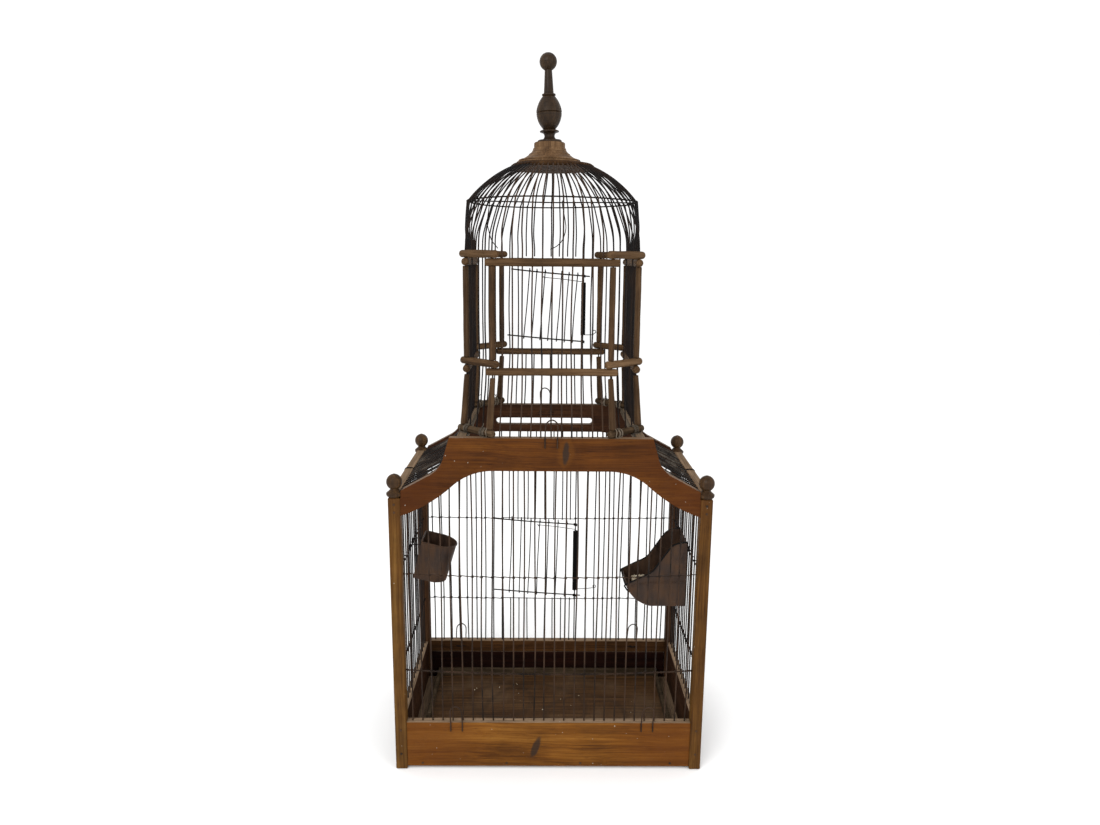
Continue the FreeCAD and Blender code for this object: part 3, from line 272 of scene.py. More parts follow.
def stained_tray(name):
    """The tray floor: dull brown boards with grey bloom and the rings that wet pots leave."""
    shader = Shader(name)
    place = shader.object_point()
    streaks = shader.noise(shader.stretched(place, (9, 260, 260)), 1.0, 5.0, 0.65)
    clouds = shader.noise(place, 11.0, 5.0, 0.6)
    stops = [(0.3, (0.018, 0.008, 0.003)), (0.55, (0.060, 0.028, 0.010)), (0.75, (0.102, 0.053, 0.021))]
    colour = shader.ramp(streaks, stops)
    bloom = shader.band(clouds, 0.45, 0.72, 0.0, 0.45)
    colour = shader.mix(bloom, colour, (0.12, 0.080, 0.048))
    for centre_x, centre_y, radius in ((-0.02, 0.0, 0.074), (0.055, -0.02, 0.060), (-0.07, 0.03, 0.045)):
        offset = shader.vector_math("SUBTRACT", place, (centre_x, centre_y, 0))
        flat = shader.stretched(offset, (1, 1, 0))
        span = shader.add("ShaderNodeVectorMath", {0: flat}, operation="LENGTH").outputs["Value"]
        wavering = shader.math("MULTIPLY_ADD", clouds, 0.03, span)
        miss = shader.math("ABSOLUTE", shader.math("SUBTRACT", wavering, radius + 0.015))
        ring = shader.band(miss, 0.0015, 0.006, 0.3, 0.0)
        colour = shader.mix(ring, colour, (0.022, 0.014, 0.009))
    spots = shader.noise(place, 240.0, 2.0, 0.5)
    colour = shader.mix(shader.band(spots, 0.74, 0.80, 0.0, 0.5), colour, (0.22, 0.17, 0.11))
    roughness = shader.band(clouds, 0.3, 0.7, 0.6, 0.9)
    return shader.finish(colour, roughness, streaks, 0.4 * MM)


def seed_husks(name):
    """Pale husks, no two of quite the same colour."""
    shader = Shader(name)
    place = shader.object_point()
    tone = shader.noise(place, 330.0, 2.0)
    stops = [(0.3, (0.22, 0.15, 0.08)), (0.5, (0.48, 0.40, 0.28)), (0.7, (0.66, 0.62, 0.52))]
    colour = shader.ramp(tone, stops)
    fine = shader.noise(place, 2200.0, 3.0)
    return shader.finish(colour, shader.band(fine, 0.3, 0.7, 0.6, 0.85), fine, 0.1 * MM)


def pale_floor(name):
    """A plain pale sweep with the faintest unevenness."""
    shader = Shader(name)
    tone = shader.noise(shader.object_point(), 3.0, 3.0)
    colour = shader.ramp(tone, [(0.3, (0.93, 0.93, 0.925)), (0.7, (0.95, 0.95, 0.95))])
    return shader.finish(colour, 0.9, tone, 0.02 * MM)


HONEY = dict(dark=(0.052, 0.016, 0.002), mid=(0.141, 0.050, 0.0055), light=(0.240, 0.101, 0.016))
OCHRE = dict(dark=(0.029, 0.008, 0.001), mid=(0.076, 0.023, 0.0025), light=(0.129, 0.045, 0.005))
CORNER = dict(dark=(0.036, 0.0125, 0.002), mid=(0.097, 0.041, 0.0075), light=(0.167, 0.083, 0.019))
UMBER = dict(dark=(0.014, 0.006, 0.003), mid=(0.050, 0.021, 0.008), light=(0.098, 0.046, 0.020))
SHADE = dict(dark=(0.005, 0.002, 0.001), mid=(0.014, 0.005, 0.003), light=(0.030, 0.013, 0.007))
DRAB = dict(dark=(0.024, 0.012, 0.005), mid=(0.080, 0.043, 0.019), light=(0.155, 0.092, 0.046))
GREY = dict(dark=(0.046, 0.034, 0.024), mid=(0.160, 0.124, 0.088), light=(0.29, 0.235, 0.172))
ASHEN = dict(dark=(0.026, 0.019, 0.012), mid=(0.088, 0.066, 0.044), light=(0.19, 0.150, 0.108))
TURNED = dict(dark=(0.013, 0.006, 0.002), mid=(0.046, 0.022, 0.0075), light=(0.105, 0.053, 0.019))


def tinted(palette, red, green, blue):
    """The same wood, lighter or darker."""
    return {tone: (r * red, g * green, b * blue) for tone, (r, g, b) in palette.items()}



# Umber made darker, with less green and less blue, for the back arch board.
DARKER_UMBER = tinted(UMBER, 0.8, 0.67, 0.52)
REDDER = tinted(UMBER, 1.28, 1.22, 0.93)
# Painted shade: the tray's back board sits in shadow under the back rail, so its wood is made nearly black.
SHADOWED_TRAY_BACK = tinted(SHADE, 0.78, 0.5, 0.4)
SIDE = tinted(UMBER, 0.75, 0.7, 0.75)
EAVE = tinted(GREY, 0.64, 0.43, 0.25)

front_board = mm_box("front_bottom_board")
front_arch = mm_box("front_arch_board")
front_face = front_board[0].y

looks = {
    "front_bottom_board": wood(
        "front_board_wood", "X", **HONEY, lit_and_worn_top=0.95, end_reach=95, flecks=1.0,
        scorches=[((-17, front_face, 31), (5.5, 17), 0.32)],
    ),
    "front_arch_board": wood(
        "arch_wood", "X", **OCHRE, lit_and_worn_top=0.6, end_reach=110, flecks=0.6,
        scorches=[((18, front_arch[0].y, 428), (4.5, 16), 0.05)], halo=0.3,
    ),
    "back_arch_board": wood("back_arch_wood", "X", **DARKER_UMBER, lit_and_worn_top=0.6, end_reach=60, grime=0.8),
    "back_bottom_rail": wood("back_rail_wood", "X", **REDDER, lit_and_worn_top=0.85, grime=0.8),
    # Painted shade: nearly black wood for the board's shadow under the back rail.
    "tray_back_board": wood("tray_back_shadowed_wood", "X", **SHADOWED_TRAY_BACK, lit_and_worn_top=0.4, grime=0.8),
    "left_bottom_board": wood("side_board_wood", "Y", **SIDE, lit_and_worn_top=0.9, grime=0.7),
    "left_eave_rail": wood("eave_wood", "Y", **EAVE, gloss=0.15, lit_and_worn_top=0.8, grime=0.5),
    "left_turret_sill": wood("sill_wood", "Y", **ASHEN, gloss=0.15, lit_and_worn_top=0.5, grime=0.7),
    "post_front_left": wood("post_wood", "Z", **CORNER, end_reach=330, flecks=0.9, grime=0.7),
    "post_back_left": wood("back_post_wood", "Z", **UMBER, grime=0.8),
    "corner_finials": wood("finial_wood", "Z", **TURNED, gloss=0.9, rings=0.5),
    "spire": wood("spire_wood", "Z", **tinted(TURNED, 0.55, 0.6, 0.7), gloss=1.0, rings=0.6),
    "crown_cap": wood("crown_wood", "Z", **tinted(DRAB, 1.5, 1.5, 1.5), gloss=0.5, rings=0.7),
    # Painted shade: the crown plate is darkened for the shaded band under the cap.
    "crown_plate": wood("plate_wood", "Z", **tinted(UMBER, 0.75, 0.78, 0.62), gloss=0.3, rings=0.4),
    "tray_lips": wood("lip_wood", "X", **tinted(ASHEN, 0.65, 0.58, 0.5), gloss=0.1, grime=0.9),
    "tray_floor": stained_tray("tray_wood"),
    "nails": iron("nail_iron", (0.012, 0.009, 0.007), (0.06, 0.03, 0.015), 0.5),
}
same_as = {
    "right_bottom_board": "left_bottom_board",
    "right_eave_rail": "left_eave_rail",
    "right_turret_sill": "left_turret_sill",
    "post_front_right": "post_front_left",
    "post_back_right": "post_back_left",
    "tray_ledges": "left_bottom_board",
}
dowel_wood = wood("dowel_wood", "grain", **DRAB, gloss=0.35, grime=0.7)
worn_dowel_wood = wood("worn_dowel_wood", "grain", **tinted(ASHEN, 0.64, 0.52, 0.41), gloss=0.1, grime=0.9)
gallery_wood = wood("gallery_wood", "grain", **tinted(DRAB, 0.68, 0.65, 0.62), gloss=0.5, grime=0.9)
wire_iron = iron("wire_iron", (0.003, 0.002, 0.002), (0.016, 0.009, 0.006))
# Painted light: a lighter, browner copy of the wire iron for the front wires, where the light falls.
lit_front_wire = iron("lit_front_wire", (0.006, 0.004, 0.003), (0.040, 0.022, 0.013), 0.5)
black_wire = iron("black_wire", (0.002, 0.002, 0.002), (0.009, 0.006, 0.004), 0.6)
# Painted highlights: the pale patches on the roof wires stand for the thin highlights along their tops.
highlit_roof_wire = iron("highlit_roof_wire", (0.006, 0.004, 0.003), (0.105, 0.088, 0.070), 0.6)
pale_wire = iron("pale_wire", (0.035, 0.028, 0.020), (0.150, 0.120, 0.090), 0.5)
tin = tinplate("tinplate")
husk = seed_husks("husks")

looks.update({node: looks[twin] for node, twin in same_as.items()})
looks["seed_cup"] = looks["hopper_feeder"] = tin
for node, look in looks.items():
    materials = frame["nodes"][node].data.materials
    materials.clear()
    materials.append(look)

# ---- building pieces


class Shape:
    """Collects rods and loose forms, in millimetres, and makes one mesh object of them."""

    def __init__(self):
        self.points = []
        self.faces = []
        self.grain = []

    def tube(self, route, radius, sides=8):
        """A round rod along a route. The radius is one number, or one for each point."""
        route = [Vector(point) for point in route]
        radii = [radius] * len(route) if isinstance(radius, (int, float)) else radius
        shift = rng.uniform(0, 900)
        first = len(self.points)
        last_index = len(route) - 1
        side = (route[1] - route[0]).orthogonal().normalized()
        along = 0.0
        for index, centre in enumerate(route):
            ahead = (route[min(index + 1, last_index)] - route[max(index - 1, 0)]).normalized()
            side = (side - ahead * side.dot(ahead)).normalized()
            other = ahead.cross(side)
            if index:
                along += (centre - route[index - 1]).length
            for step in range(sides):
                turn = math.tau * step / sides
                x, y = math.cos(turn) * radii[index], math.sin(turn) * radii[index]
                self.points.append(centre + side * x + other * y)
                self.grain.append((along + shift, x + shift, y))
        for ring in range(last_index):
            start = first + ring * sides
            for step in range(sides):
                after = (step + 1) % sides
                above = start + sides
                self.faces.append((start + step, start + after, above + after, above + step))
        self.faces.append(tuple(reversed(range(first, first + sides))))
        self.faces.append(tuple(range(first + last_index * sides, first + (last_index + 1) * sides)))

    def patch(self, points, faces):
        """Any mesh, given whole."""
        first = len(self.points)
        self.points += [Vector(point) for point in points]
        self.grain += [tuple(point) for point in points]
        self.faces += [tuple(first + corner for corner in face) for face in faces]

    def make(self, name, material, slot, body="cage", replaces=()):
        mesh = bpy.data.meshes.new(name)
        mesh.from_pydata([point * MM for point in self.points], [], self.faces)
        mesh.polygons.foreach_set("use_smooth", [True] * len(mesh.polygons))
        mesh.set_sharp_from_angle(angle=math.radians(52))
        grain = mesh.attributes.new("grain", "FLOAT_VECTOR", "POINT")
        grain.data.foreach_set("vector", [value for point in self.grain for value in point])
        mesh.materials.append(material)
        piece = bpy.data.objects.new(name, mesh)
        bpy.context.scene.collection.objects.link(piece)
        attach(piece, body)
        if replaces:
            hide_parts(*replaces)
        return piece


def smooth(points, steps=6):
    """A soft curve through the points."""
    points = [Vector(point) for point in points]
    padded = [2 * points[0] - points[1]] + points + [2 * points[-1] - points[-2]]
    route = []
    for a, b, c, d in zip(padded, padded[1:], padded[2:], padded[3:]):
        for step in range(steps):
            t = step / steps
            curve = 2 * b + (c - a) * t
            curve = curve + (2 * a - 5 * b + 4 * c - d) * t**2 + (3 * b - a - 3 * c + d) * t**3
            route.append(0.5 * curve)
    return route + [points[-1]]


def spread(first, last, count):
    """Evenly spaced numbers, both ends included."""
    return [first + (last - first) * index / (count - 1) for index in range(count)]


# ---- upright wires

WIRE = 0.92
CAD_WIRE = 0.8
TIE = 0.62
FRONT_COUNT = 28
SIDE_COUNT = 16


class Upright:
    """A wire that wanders a little between its foot and its head, along its wall."""

    def __init__(self, foot, head, wall, sway):
        self.foot = Vector(foot)
        self.head = Vector(head)
        across = Vector((-wall.y, wall.x, 0))
        self.bow = wall * rng.uniform(-sway, sway) + across * rng.uniform(-0.3, 0.3) * sway
        self.curl = wall * rng.uniform(-sway, sway) * 0.7

    def at(self, height):
        share = (height - self.foot.z) / (self.head.z - self.foot.z)
        bend = self.bow * math.sin(math.pi * share) + self.curl * math.sin(math.tau * share)
        return self.foot.lerp(self.head, share) + bend

    def route(self, low=None, high=None, steps=14):
        return [self.at(z) for z in spread(low or self.foot.z, high or self.head.z, steps)]


def node_points(node):
    """A CAD node's vertices in millimetres."""
    return [vertex.co / MM for vertex in frame["nodes"][node].data.vertices]


def uprights(node, across, count, sway, still=None):
    """The upright wires of one wall, where the CAD node has them. still is one that stays straight."""
    low, high = mm_box(node)
    wall = Vector((1, 0, 0)) if across == "x" else Vector((0, 1, 0))
    axis = 0 if across == "x" else 1
    other = (low[1 - axis] + high[1 - axis]) / 2
    cloud = node_points(node)
    found = []
    for place in spread(low[axis] + CAD_WIRE, high[axis] - CAD_WIRE, count):
        near = [p for p in cloud if abs(p[axis] - place) < 6.2]
        centre = sum(p[axis] for p in near) / len(near)
        foot = Vector((centre, other, min(p.z for p in near)))
        if across == "y":
            foot.x, foot.y = other, centre
        head = Vector((foot.x, foot.y, max(p.z for p in near)))
        amount = 0.0 if still is not None and abs(centre - still) < 1 else sway
        found.append(Upright(foot, head, wall, amount))
    return found


def sagging(level, reach, sag):
    """Height of a level wire along a wall."""
    return lambda place: level - sag * (1 - (place / reach) ** 2)


def wrapped_tie(shape, posts, height, inside, axis, reach):
    """A thin level wire that takes one turn round each upright it meets."""
    radius = WIRE + TIE + 0.03
    wall = Vector((1, 0, 0)) if axis == 0 else Vector((0, 1, 0))
    crossing = [post.at(height(post.foot[axis])) for post in posts]
    start = crossing[0] + inside * radius
    start[axis] = -reach
    start.z = height(-reach)
    route = [start]
    for centre in crossing:
        for turn in spread(0, math.tau, 9):
            out = inside * math.cos(turn) + wall * math.sin(turn)
            rise = Vector((0, 0, (turn / math.tau - 0.5) * 2.1 * TIE))
            route.append(centre + out * radius + rise)
    end = crossing[-1] + inside * radius
    end[axis] = reach
    end.z = height(reach)
    shape.tube(route + [end], TIE, 6)


def twisted_tie(shape, posts, height, axis, reach):
    """Two thin wires twisted together, with each upright held between them."""
    wall = Vector((1, 0, 0)) if axis == 0 else Vector((0, 1, 0))
    across = Vector((-wall.y, wall.x, 0))
    places = [post.at(height(post.foot[axis])) for post in posts]
    stops = [-reach] + [place[axis] for place in places] + [reach]
    plane = sum(place[1 - axis] for place in places) / len(places)
    for strand in (0, 1):
        route = []
        for index, (start, end) in enumerate(zip(stops, stops[1:])):
            for step in range(12):
                share = step / 12
                turn = math.pi * (0.5 + strand + 3 * (index + share))
                open_by = max(0, 1 - min(share, 1 - share) * (end - start) / 3.0)
                radius = TIE + 0.05 + open_by * (WIRE + 0.03)
                centre = wall * (start + (end - start) * share)
                centre[1 - axis] = plane
                centre.z = height(centre[axis])
                height_of_twist = Vector((0, 0, math.cos(turn) * (TIE + 0.05)))
                route.append(centre + across * math.sin(turn) * radius + height_of_twist)
        shape.tube(route, TIE, 6)


post_high = mm_box("post_front_left")[1]
inner_x = -post_high.x
inner_y = -post_high.y
upper_tie = mm_box("back_tie_wires")[1].z - CAD_WIRE
lower_tie = mm_box("back_tie_wires")[0].z + CAD_WIRE
joints = {joint["child"]: joint for joint in frame["joints"]}
hinge_x = joints["lower_door"]["pos_m"][0] / MM

front_posts = uprights("front_wall_wires", "x", FRONT_COUNT, 1.3)
back_posts = uprights("back_wall_wires", "x", FRONT_COUNT, 1.5, still=hinge_x)
side_posts = {side: uprights(side + "_wall_wires", "y", SIDE_COUNT, 1.4) for side in SIDES}
hinge_index = min(range(FRONT_COUNT), key=lambda i: abs(back_posts[i].foot.x - hinge_x))
doorway = range(hinge_index - 8, hinge_index)

shape = Shape()
for post in front_posts:
    shape.tube(post.route(), WIRE)
shape.make("front_wall_wires_bent", lit_front_wire, "wire", replaces=["front_wall_wires"])

back_upper = sagging(upper_tie, inner_x, 1.5)
back_lower = sagging(lower_tie, inner_x, 1.5)
shape = Shape()
for index, post in enumerate(back_posts):
    if index not in doorway:
        shape.tube(post.route(), WIRE)
        continue
    for height, low, high in ((back_lower, post.foot.z, None), (back_upper, None, post.head.z)):
        tie = height(post.foot.x)
        stub = post.route(low or tie + TIE, high or tie - TIE, 7)
        if high:
            stub.reverse()
        end = stub[-1]
        curl = [end + Vector((0, -2.2 * (1 - math.cos(t)), 1.7 * math.sin(t))) for t in spread(0.6, 4.6, 6)]
        shape.tube(stub + curl, WIRE * 0.95, 6)
shape.make("back_wall_wires_bent", wire_iron, "wire", replaces=["back_wall_wires"])

for side in SIDES:
    shape = Shape()
    for post in side_posts[side]:
        shape.tube(post.route(), WIRE)
    shape.make(side + "_wall_wires_bent", wire_iron, "wire", replaces=[side + "_wall_wires"])

shape = Shape()
wrapped_tie(shape, front_posts, sagging(upper_tie, inner_x, 5), Vector((0, 1, 0)), 0, inner_x + 2)
twisted_tie(shape, front_posts, sagging(lower_tie, inner_x, 6), 0, inner_x + 2)
shape.make("front_ties_wound", lit_front_wire, "wire", replaces=["front_tie_wires"])
shape = Shape()
whole = [post for index, post in enumerate(back_posts) if index not in doorway]
wrapped_tie(shape, whole, back_upper, Vector((0, -1, 0)), 0, inner_x + 2)
wrapped_tie(shape, whole, back_lower, Vector((0, -1, 0)), 0, inner_x + 2)
shape.make("back_ties_wound", wire_iron, "wire", replaces=["back_tie_wires"])
shape = Shape()
for side, sign in SIDES.items():
    inside = Vector((-sign, 0, 0))
    wrapped_tie(shape, side_posts[side], sagging(upper_tie, inner_y, 2), inside, 1, inner_y + 2)
    twisted_tie(shape, side_posts[side], sagging(lower_tie, inner_y, 2.5), 1, inner_y + 2)
shape.make("side_ties_wound", wire_iron, "wire", replaces=["side_tie_wires"])

# ---- roof wires

arch_top = front_arch[1].z
eave_top = mm_box("left_eave_rail")[1].z
sill_face = mm_box("right_turret_sill")[1].x
eave_x = (mm_box("right_eave_rail")[0].x + mm_box("right_eave_rail")[1].x) / 2
for side, sign in SIDES.items():
    shape = Shape()
    for post in side_posts[side]:
        y = post.foot.y
        drift = rng.uniform(-1.4, 1.4)
        dip = rng.uniform(-0.8, 0.8)
        profile = [
            (sill_face - 4, -6, 0),
            (sill_face + 2.5, -8, 0.1),
            (sill_face + 11, -27, 0.5),
            (sill_face + 17, -37, 0.8),
            (sill_face + 25, -45.5, 1),
            (sill_face + 36, -53, 0.8),
            (eave_x - 1.5, eave_top - 3 - arch_top, 0),
        ]
        points = [(sign * x, y + drift * share, arch_top + z + dip * share) for x, z, share in profile]
        shape.tube(smooth(points, 4), WIRE)
    shape.make(side + "_roof_wires_bent", highlit_roof_wire, "wire", replaces=[side + "_roof_wires"])

# ---- turret wires

HALF_FRONT, HALF_SIDE = 71.0, 75.0
HALF_WIDE, HALF_DEEP = 105.0, 107.5
SPLAY = 4.5
FACE_GAPS, CORNER_GAPS = 12, 4
SHOULDER_LEVEL, SHOULDER_BULGE = 695.0, 4.5
DOME_WAIST = (88.3, 751.0)
DOME_MOUTH = (50.0, 774.4)
RING_RUN = 1.5
DOWEL = 4.6

middle_low, middle_high = mm_box("middle_rails")
top_low = mm_box("top_rails")[0]
ring_low, ring_high = mm_box("dome_ring")
ring_radius = ring_high.x + CAD_WIRE + 0.1
ring_level = (ring_low.z + ring_high.z) / 2 + 1
middle_level = middle_low.z + DOWEL
top_level = top_low.z + DOWEL
step_up = middle_high.z - middle_low.z - 2 * DOWEL


def turret_corner(index):
    """The eight corners of the turret, clockwise from front left."""
    ring = [(-HALF_FRONT, -HALF_DEEP), (-HALF_WIDE, -HALF_SIDE)]
    ring += [(-HALF_WIDE, HALF_SIDE), (-HALF_FRONT, HALF_DEEP)]
    ring += [(-x, -y) for x, y in ring]
    return ring[index % 8]


def splayed_corner(index):
    """The same corner at the turret's foot."""
    return tuple(v + math.copysign(SPLAY, v) for v in turret_corner(index))


def between(start, end, share):
    return tuple(a + (b - a) * share for a, b in zip(start, end))


def circle_through(a, b, c):
    """Centre and radius of the circle through three points of a plane."""
    twice_area = 2 * (a[0] * (b[1] - c[1]) + b[0] * (c[1] - a[1]) + c[0] * (a[1] - b[1]))
    squares = [p[0] ** 2 + p[1] ** 2 for p in (a, b, c)]
    x = squares[0] * (b[1] - c[1]) + squares[1] * (c[1] - a[1]) + squares[2] * (a[1] - b[1])
    y = squares[0] * (c[0] - b[0]) + squares[1] * (a[0] - c[0]) + squares[2] * (b[0] - a[0])
    centre = (x / twice_area, y / twice_area)
    return centre, math.hypot(a[0] - centre[0], a[1] - centre[1])


dome_centre, dome_radius = circle_through((ring_radius, ring_level), DOME_WAIST, DOME_MOUTH)
dome_first, dome_last = (
    math.atan2(level - dome_centre[1], reach - dome_centre[0])
    for reach, level in ((ring_radius, ring_level), DOME_MOUTH)
)


def turret_route(index, share, foot, sway):
    """A turret wire from its foot up, over the dome and into the crown plate."""
    low = between(splayed_corner(index), splayed_corner(index + 1), share)
    high = between(turret_corner(index), turret_corner(index + 1), share)
    bend = middle_level - DOWEL - 3
    start = between((*high, bend), (*low, arch_top), (bend - foot) / (bend - arch_top))
    turn = math.atan2(high[1], high[0])
    face = Vector((-math.sin(turn), math.cos(turn), 0))
    swing = [face * rng.uniform(-sway, sway) for _ in range(3)]
    clear = top_level + step_up + DOWEL + 4
    points = [
        Vector(start),
        Vector(between(start, (*high, bend), 0.5)) + swing[0] * 0.6,
        Vector((*high, bend + 4)),
        Vector((*high, (bend + top_level) / 2)) + swing[1],
        Vector((*high, top_level)),
        Vector((*high, clear)),
    ]
    out = Vector((math.cos(turn), math.sin(turn), 0))
    ring_point = out * ring_radius + Vector((0, 0, ring_level))
    shoulder = points[-1].lerp(ring_point, (SHOULDER_LEVEL - clear) / (ring_level - clear))
    points.append(shoulder + out * SHOULDER_BULGE + swing[2] * 0.5)
    under_ring = Vector((0, 0, -math.cos(dome_first))) + out * math.sin(dome_first)
    points.append(ring_point + under_ring * RING_RUN)
    for step, angle in enumerate(spread(dome_first, dome_last, 8)):
        reach = dome_centre[0] + dome_radius * math.cos(angle)
        level = dome_centre[1] + dome_radius * math.sin(angle)
        sideways = swing[2] * 0.8 * math.sin(math.pi * step / 7)
        points.append(out * reach + Vector((0, 0, level)) + sideways)
    return points


def cut_route(points, low, high):
    """The two ends of a wire with the stretch between two heights cut out."""
    route = smooth(points, 5)
    lower = [p for p in route if p.z < low]
    upper = [p for p in route if p.z > high]
    return lower, upper


FACES = {"left": 1, "back": 3, "right": 5, "front": 7}
UPPER_DOOR_STEPS = range(3, 10)
UPPER_HINGE_STEP = 10
for face, index in FACES.items():
    shape = Shape()
    for step in range(1, FACE_GAPS):
        hinge_wire = face == "back" and step == UPPER_HINGE_STEP
        points = turret_route(index, step / FACE_GAPS, arch_top - 5.5, 0.0 if hinge_wire else 1.5)
        if face == "back" and step in UPPER_DOOR_STEPS:
            for half in cut_route(points, middle_level, top_level):
                shape.tube(half, WIRE)
        else:
            shape.tube(smooth(points, 5), WIRE)
    look = lit_front_wire if face == "front" else wire_iron
    shape.make(f"turret_{face}_wires_bent", look, "wire", replaces=[f"turret_{face}_wires"])
shape = Shape()
for index in (0, 2, 4, 6):
    for step in range(1, CORNER_GAPS):
        shape.tube(smooth(turret_route(index, step / CORNER_GAPS, arch_top - 0.5, 1.4), 5), WIRE)
shape.make("turret_diagonal_wires_bent", wire_iron, "wire", replaces=["turret_diagonal_wires"])
shape = Shape()
for index in range(8):
    shape.tube(smooth(turret_route(index, 0, arch_top - 5.5, 0.0), 5), WIRE)
shape.make("turret_corner_wires_bent", wire_iron, "wire", replaces=["turret_corner_wires", "dome_wires"])

shape = Shape()
ring_path = []
for turn in spread(0.1, math.tau + 0.35, 90):
    radius = ring_radius - 2 * WIRE - 0.05 + 0.25 * math.sin(5 * turn)
    level = ring_level - 1 + 0.5 * math.sin(2 * turn) + 0.22 * turn
    ring_path.append((radius * math.cos(turn), radius * math.sin(turn), level))
shape.tube(ring_path, WIRE, 8)
shape.make("dome_ring_bent", wire_iron, "wire", replaces=["dome_ring"])
cross_low, cross_high = mm_box("dome_cross_wire")
cross_y = (cross_low.y + cross_high.y) / 2
cross_level = cross_low.z + CAD_WIRE
cross_reach = ring_radius + 3
BINDING, BINDING_WIRE = 1.7, 0.45
shape = Shape()
cross = [(-cross_reach, 0.5), (-60, 0.2), (0, -0.6), (60, 0), (cross_reach, -0.3)]
shape.tube(smooth([(x, cross_y, cross_level + rise) for x, rise in cross], 6), WIRE * 0.9)
for sign in (-1, 1):
    binding = []
    for turn in spread(0, 3.2 * math.tau, 40):
        along = sign * (ring_radius - 4 + turn * 0.25)
        across, up = BINDING * math.cos(turn), BINDING * math.sin(turn)
        binding.append((along, cross_y + across, cross_level + up))
    shape.tube(binding, BINDING_WIRE, 6)
shape.make("dome_cross_wire_bound", wire_iron, "wire", replaces=["dome_cross_wire"])

LOOSE_WIRE = 0.6
LOOSE_ENDS = [
    (14, 13, [(17, 8, 708), (18, 8, 697), (14, 4, 684), (7, 0, 676), (-2, -4, 671)]),
    (-80, -81, [(-84, 6, 706), (-82, 4, 694), (-78, 0, 682), (-70, -4, 672)]),
]
shape = Shape()
for hook_x, bend_x, hanging in LOOSE_ENDS:
    hook = [(hook_x, cross_y, cross_low.z + 3), (bend_x, cross_y + 2, cross_low.z - 1)]
    shape.tube(smooth(hook + hanging, 6), LOOSE_WIRE)
shape.make("loose_wires_bent", wire_iron, "wire", replaces=["loose_wires"])

# ---- turned and whittled dowels


def dowel(shape, start, end, radius, tail=9.0, end_radius=None, sides=20, wobble=0.22, softness=2.6):
    """A hand-made rod: slightly uneven along its length, with worn ends."""
    start, end = Vector(start), Vector(end)
    along = (end - start).normalized()
    start, end = start - along * tail, end + along * tail
    length = (end - start).length
    end_radius = end_radius or radius
    phases = [rng.uniform(0, math.tau) for _ in range(3)]
    bow = along.orthogonal().normalized() * rng.uniform(-0.35, 0.35)
    places = [0.0, 0.5, 1.2, softness]
    places += spread(softness + 3, length - softness - 3, max(6, int(length / 7)))
    places += [length - softness, length - 1.2, length - 0.5, length]
    route, radii = [], []
    for place in places:
        share = place / length
        size = radius + (end_radius - radius) * share
        size += wobble * (math.sin(place / 9 + phases[0]) + 0.6 * math.sin(place / 3.7 + phases[1])) * 0.5
        nearest = min(place, length - place)
        if nearest < softness:
            size -= (softness * 0.62) * (1 - nearest / softness) ** 2
        route.append(start.lerp(end, share) + bow * math.sin(math.pi * share))
        radii.append(size)
    shape.tube(route, radii, sides)


def rail_stack(name, level, node, jitter):
    """Four rails on the faces and four lying on them across the corners."""
    shape = Shape()
    for index in range(8):
        height = level if index % 2 else level + step_up
        ends = [Vector((*turret_corner(i), height)) for i in (index, index + 1)]
        for point in ends:
            point.z += rng.uniform(-jitter, jitter)
        dowel(shape, *ends, DOWEL, tail=8.6 + rng.uniform(-0.8, 0.4))
    return shape.make(name, dowel_wood, "dowel_wood", replaces=[node])


rail_stack("middle_rails_worn", middle_level, "middle_rails", 0.25)
rail_stack("top_rails_worn", top_level, "top_rails", 0.25)
base_level = mm_box("base_rails")[0].z + DOWEL
shape = Shape()
for index in (0, 2, 4, 6):
    ends = [Vector((*splayed_corner(i), base_level)) for i in (index, index + 1)]
    dowel(shape, *ends, DOWEL * 0.97, tail=8.4, wobble=0.4)
shape.make("base_rails_worn", worn_dowel_wood, "dowel_wood", replaces=["base_rails"])

lower_posts, upper_posts = Shape(), Shape()
lower_foot, lower_head = mm_box("lower_gallery_posts")[0].z, mm_box("lower_gallery_posts")[1].z
upper_foot, upper_head = mm_box("upper_gallery_posts")[0].z, mm_box("upper_gallery_posts")[1].z
for index in range(8):
    foot, head = splayed_corner(index), turret_corner(index)
    bend = middle_level - DOWEL - 3
    low = between((*foot, arch_top), (*head, bend), (lower_foot + 0.4 - arch_top) / (bend - arch_top))
    high = between((*foot, arch_top), (*head, bend), (lower_head - 0.4 - arch_top) / (bend - arch_top))
    dowel(lower_posts, low, high, 4.6, tail=0, end_radius=3.3, wobble=0.2, softness=1.0)
    dowel(upper_posts, (*head, upper_foot), (*head, upper_head), 3.75, tail=0, wobble=0.16, softness=1.0)
lower_posts.make("lower_gallery_posts_worn", gallery_wood, "dowel_wood", replaces=["lower_gallery_posts"])
upper_posts.make("upper_gallery_posts_worn", gallery_wood, "dowel_wood", replaces=["upper_gallery_posts"])

# ---- doors


def eye(shape, centre, radius, wire, turns=1.5):
    """A wire wound round an upright."""
    route = []
    for turn in spread(0, turns * math.tau, int(turns * 12)):
        rise = (turn / math.tau - turns / 2) * wire * 2.05
        route.append(Vector(centre) + Vector((radius * math.cos(turn), radius * math.sin(turn), rise)))
    shape.tube(route, wire, 8)


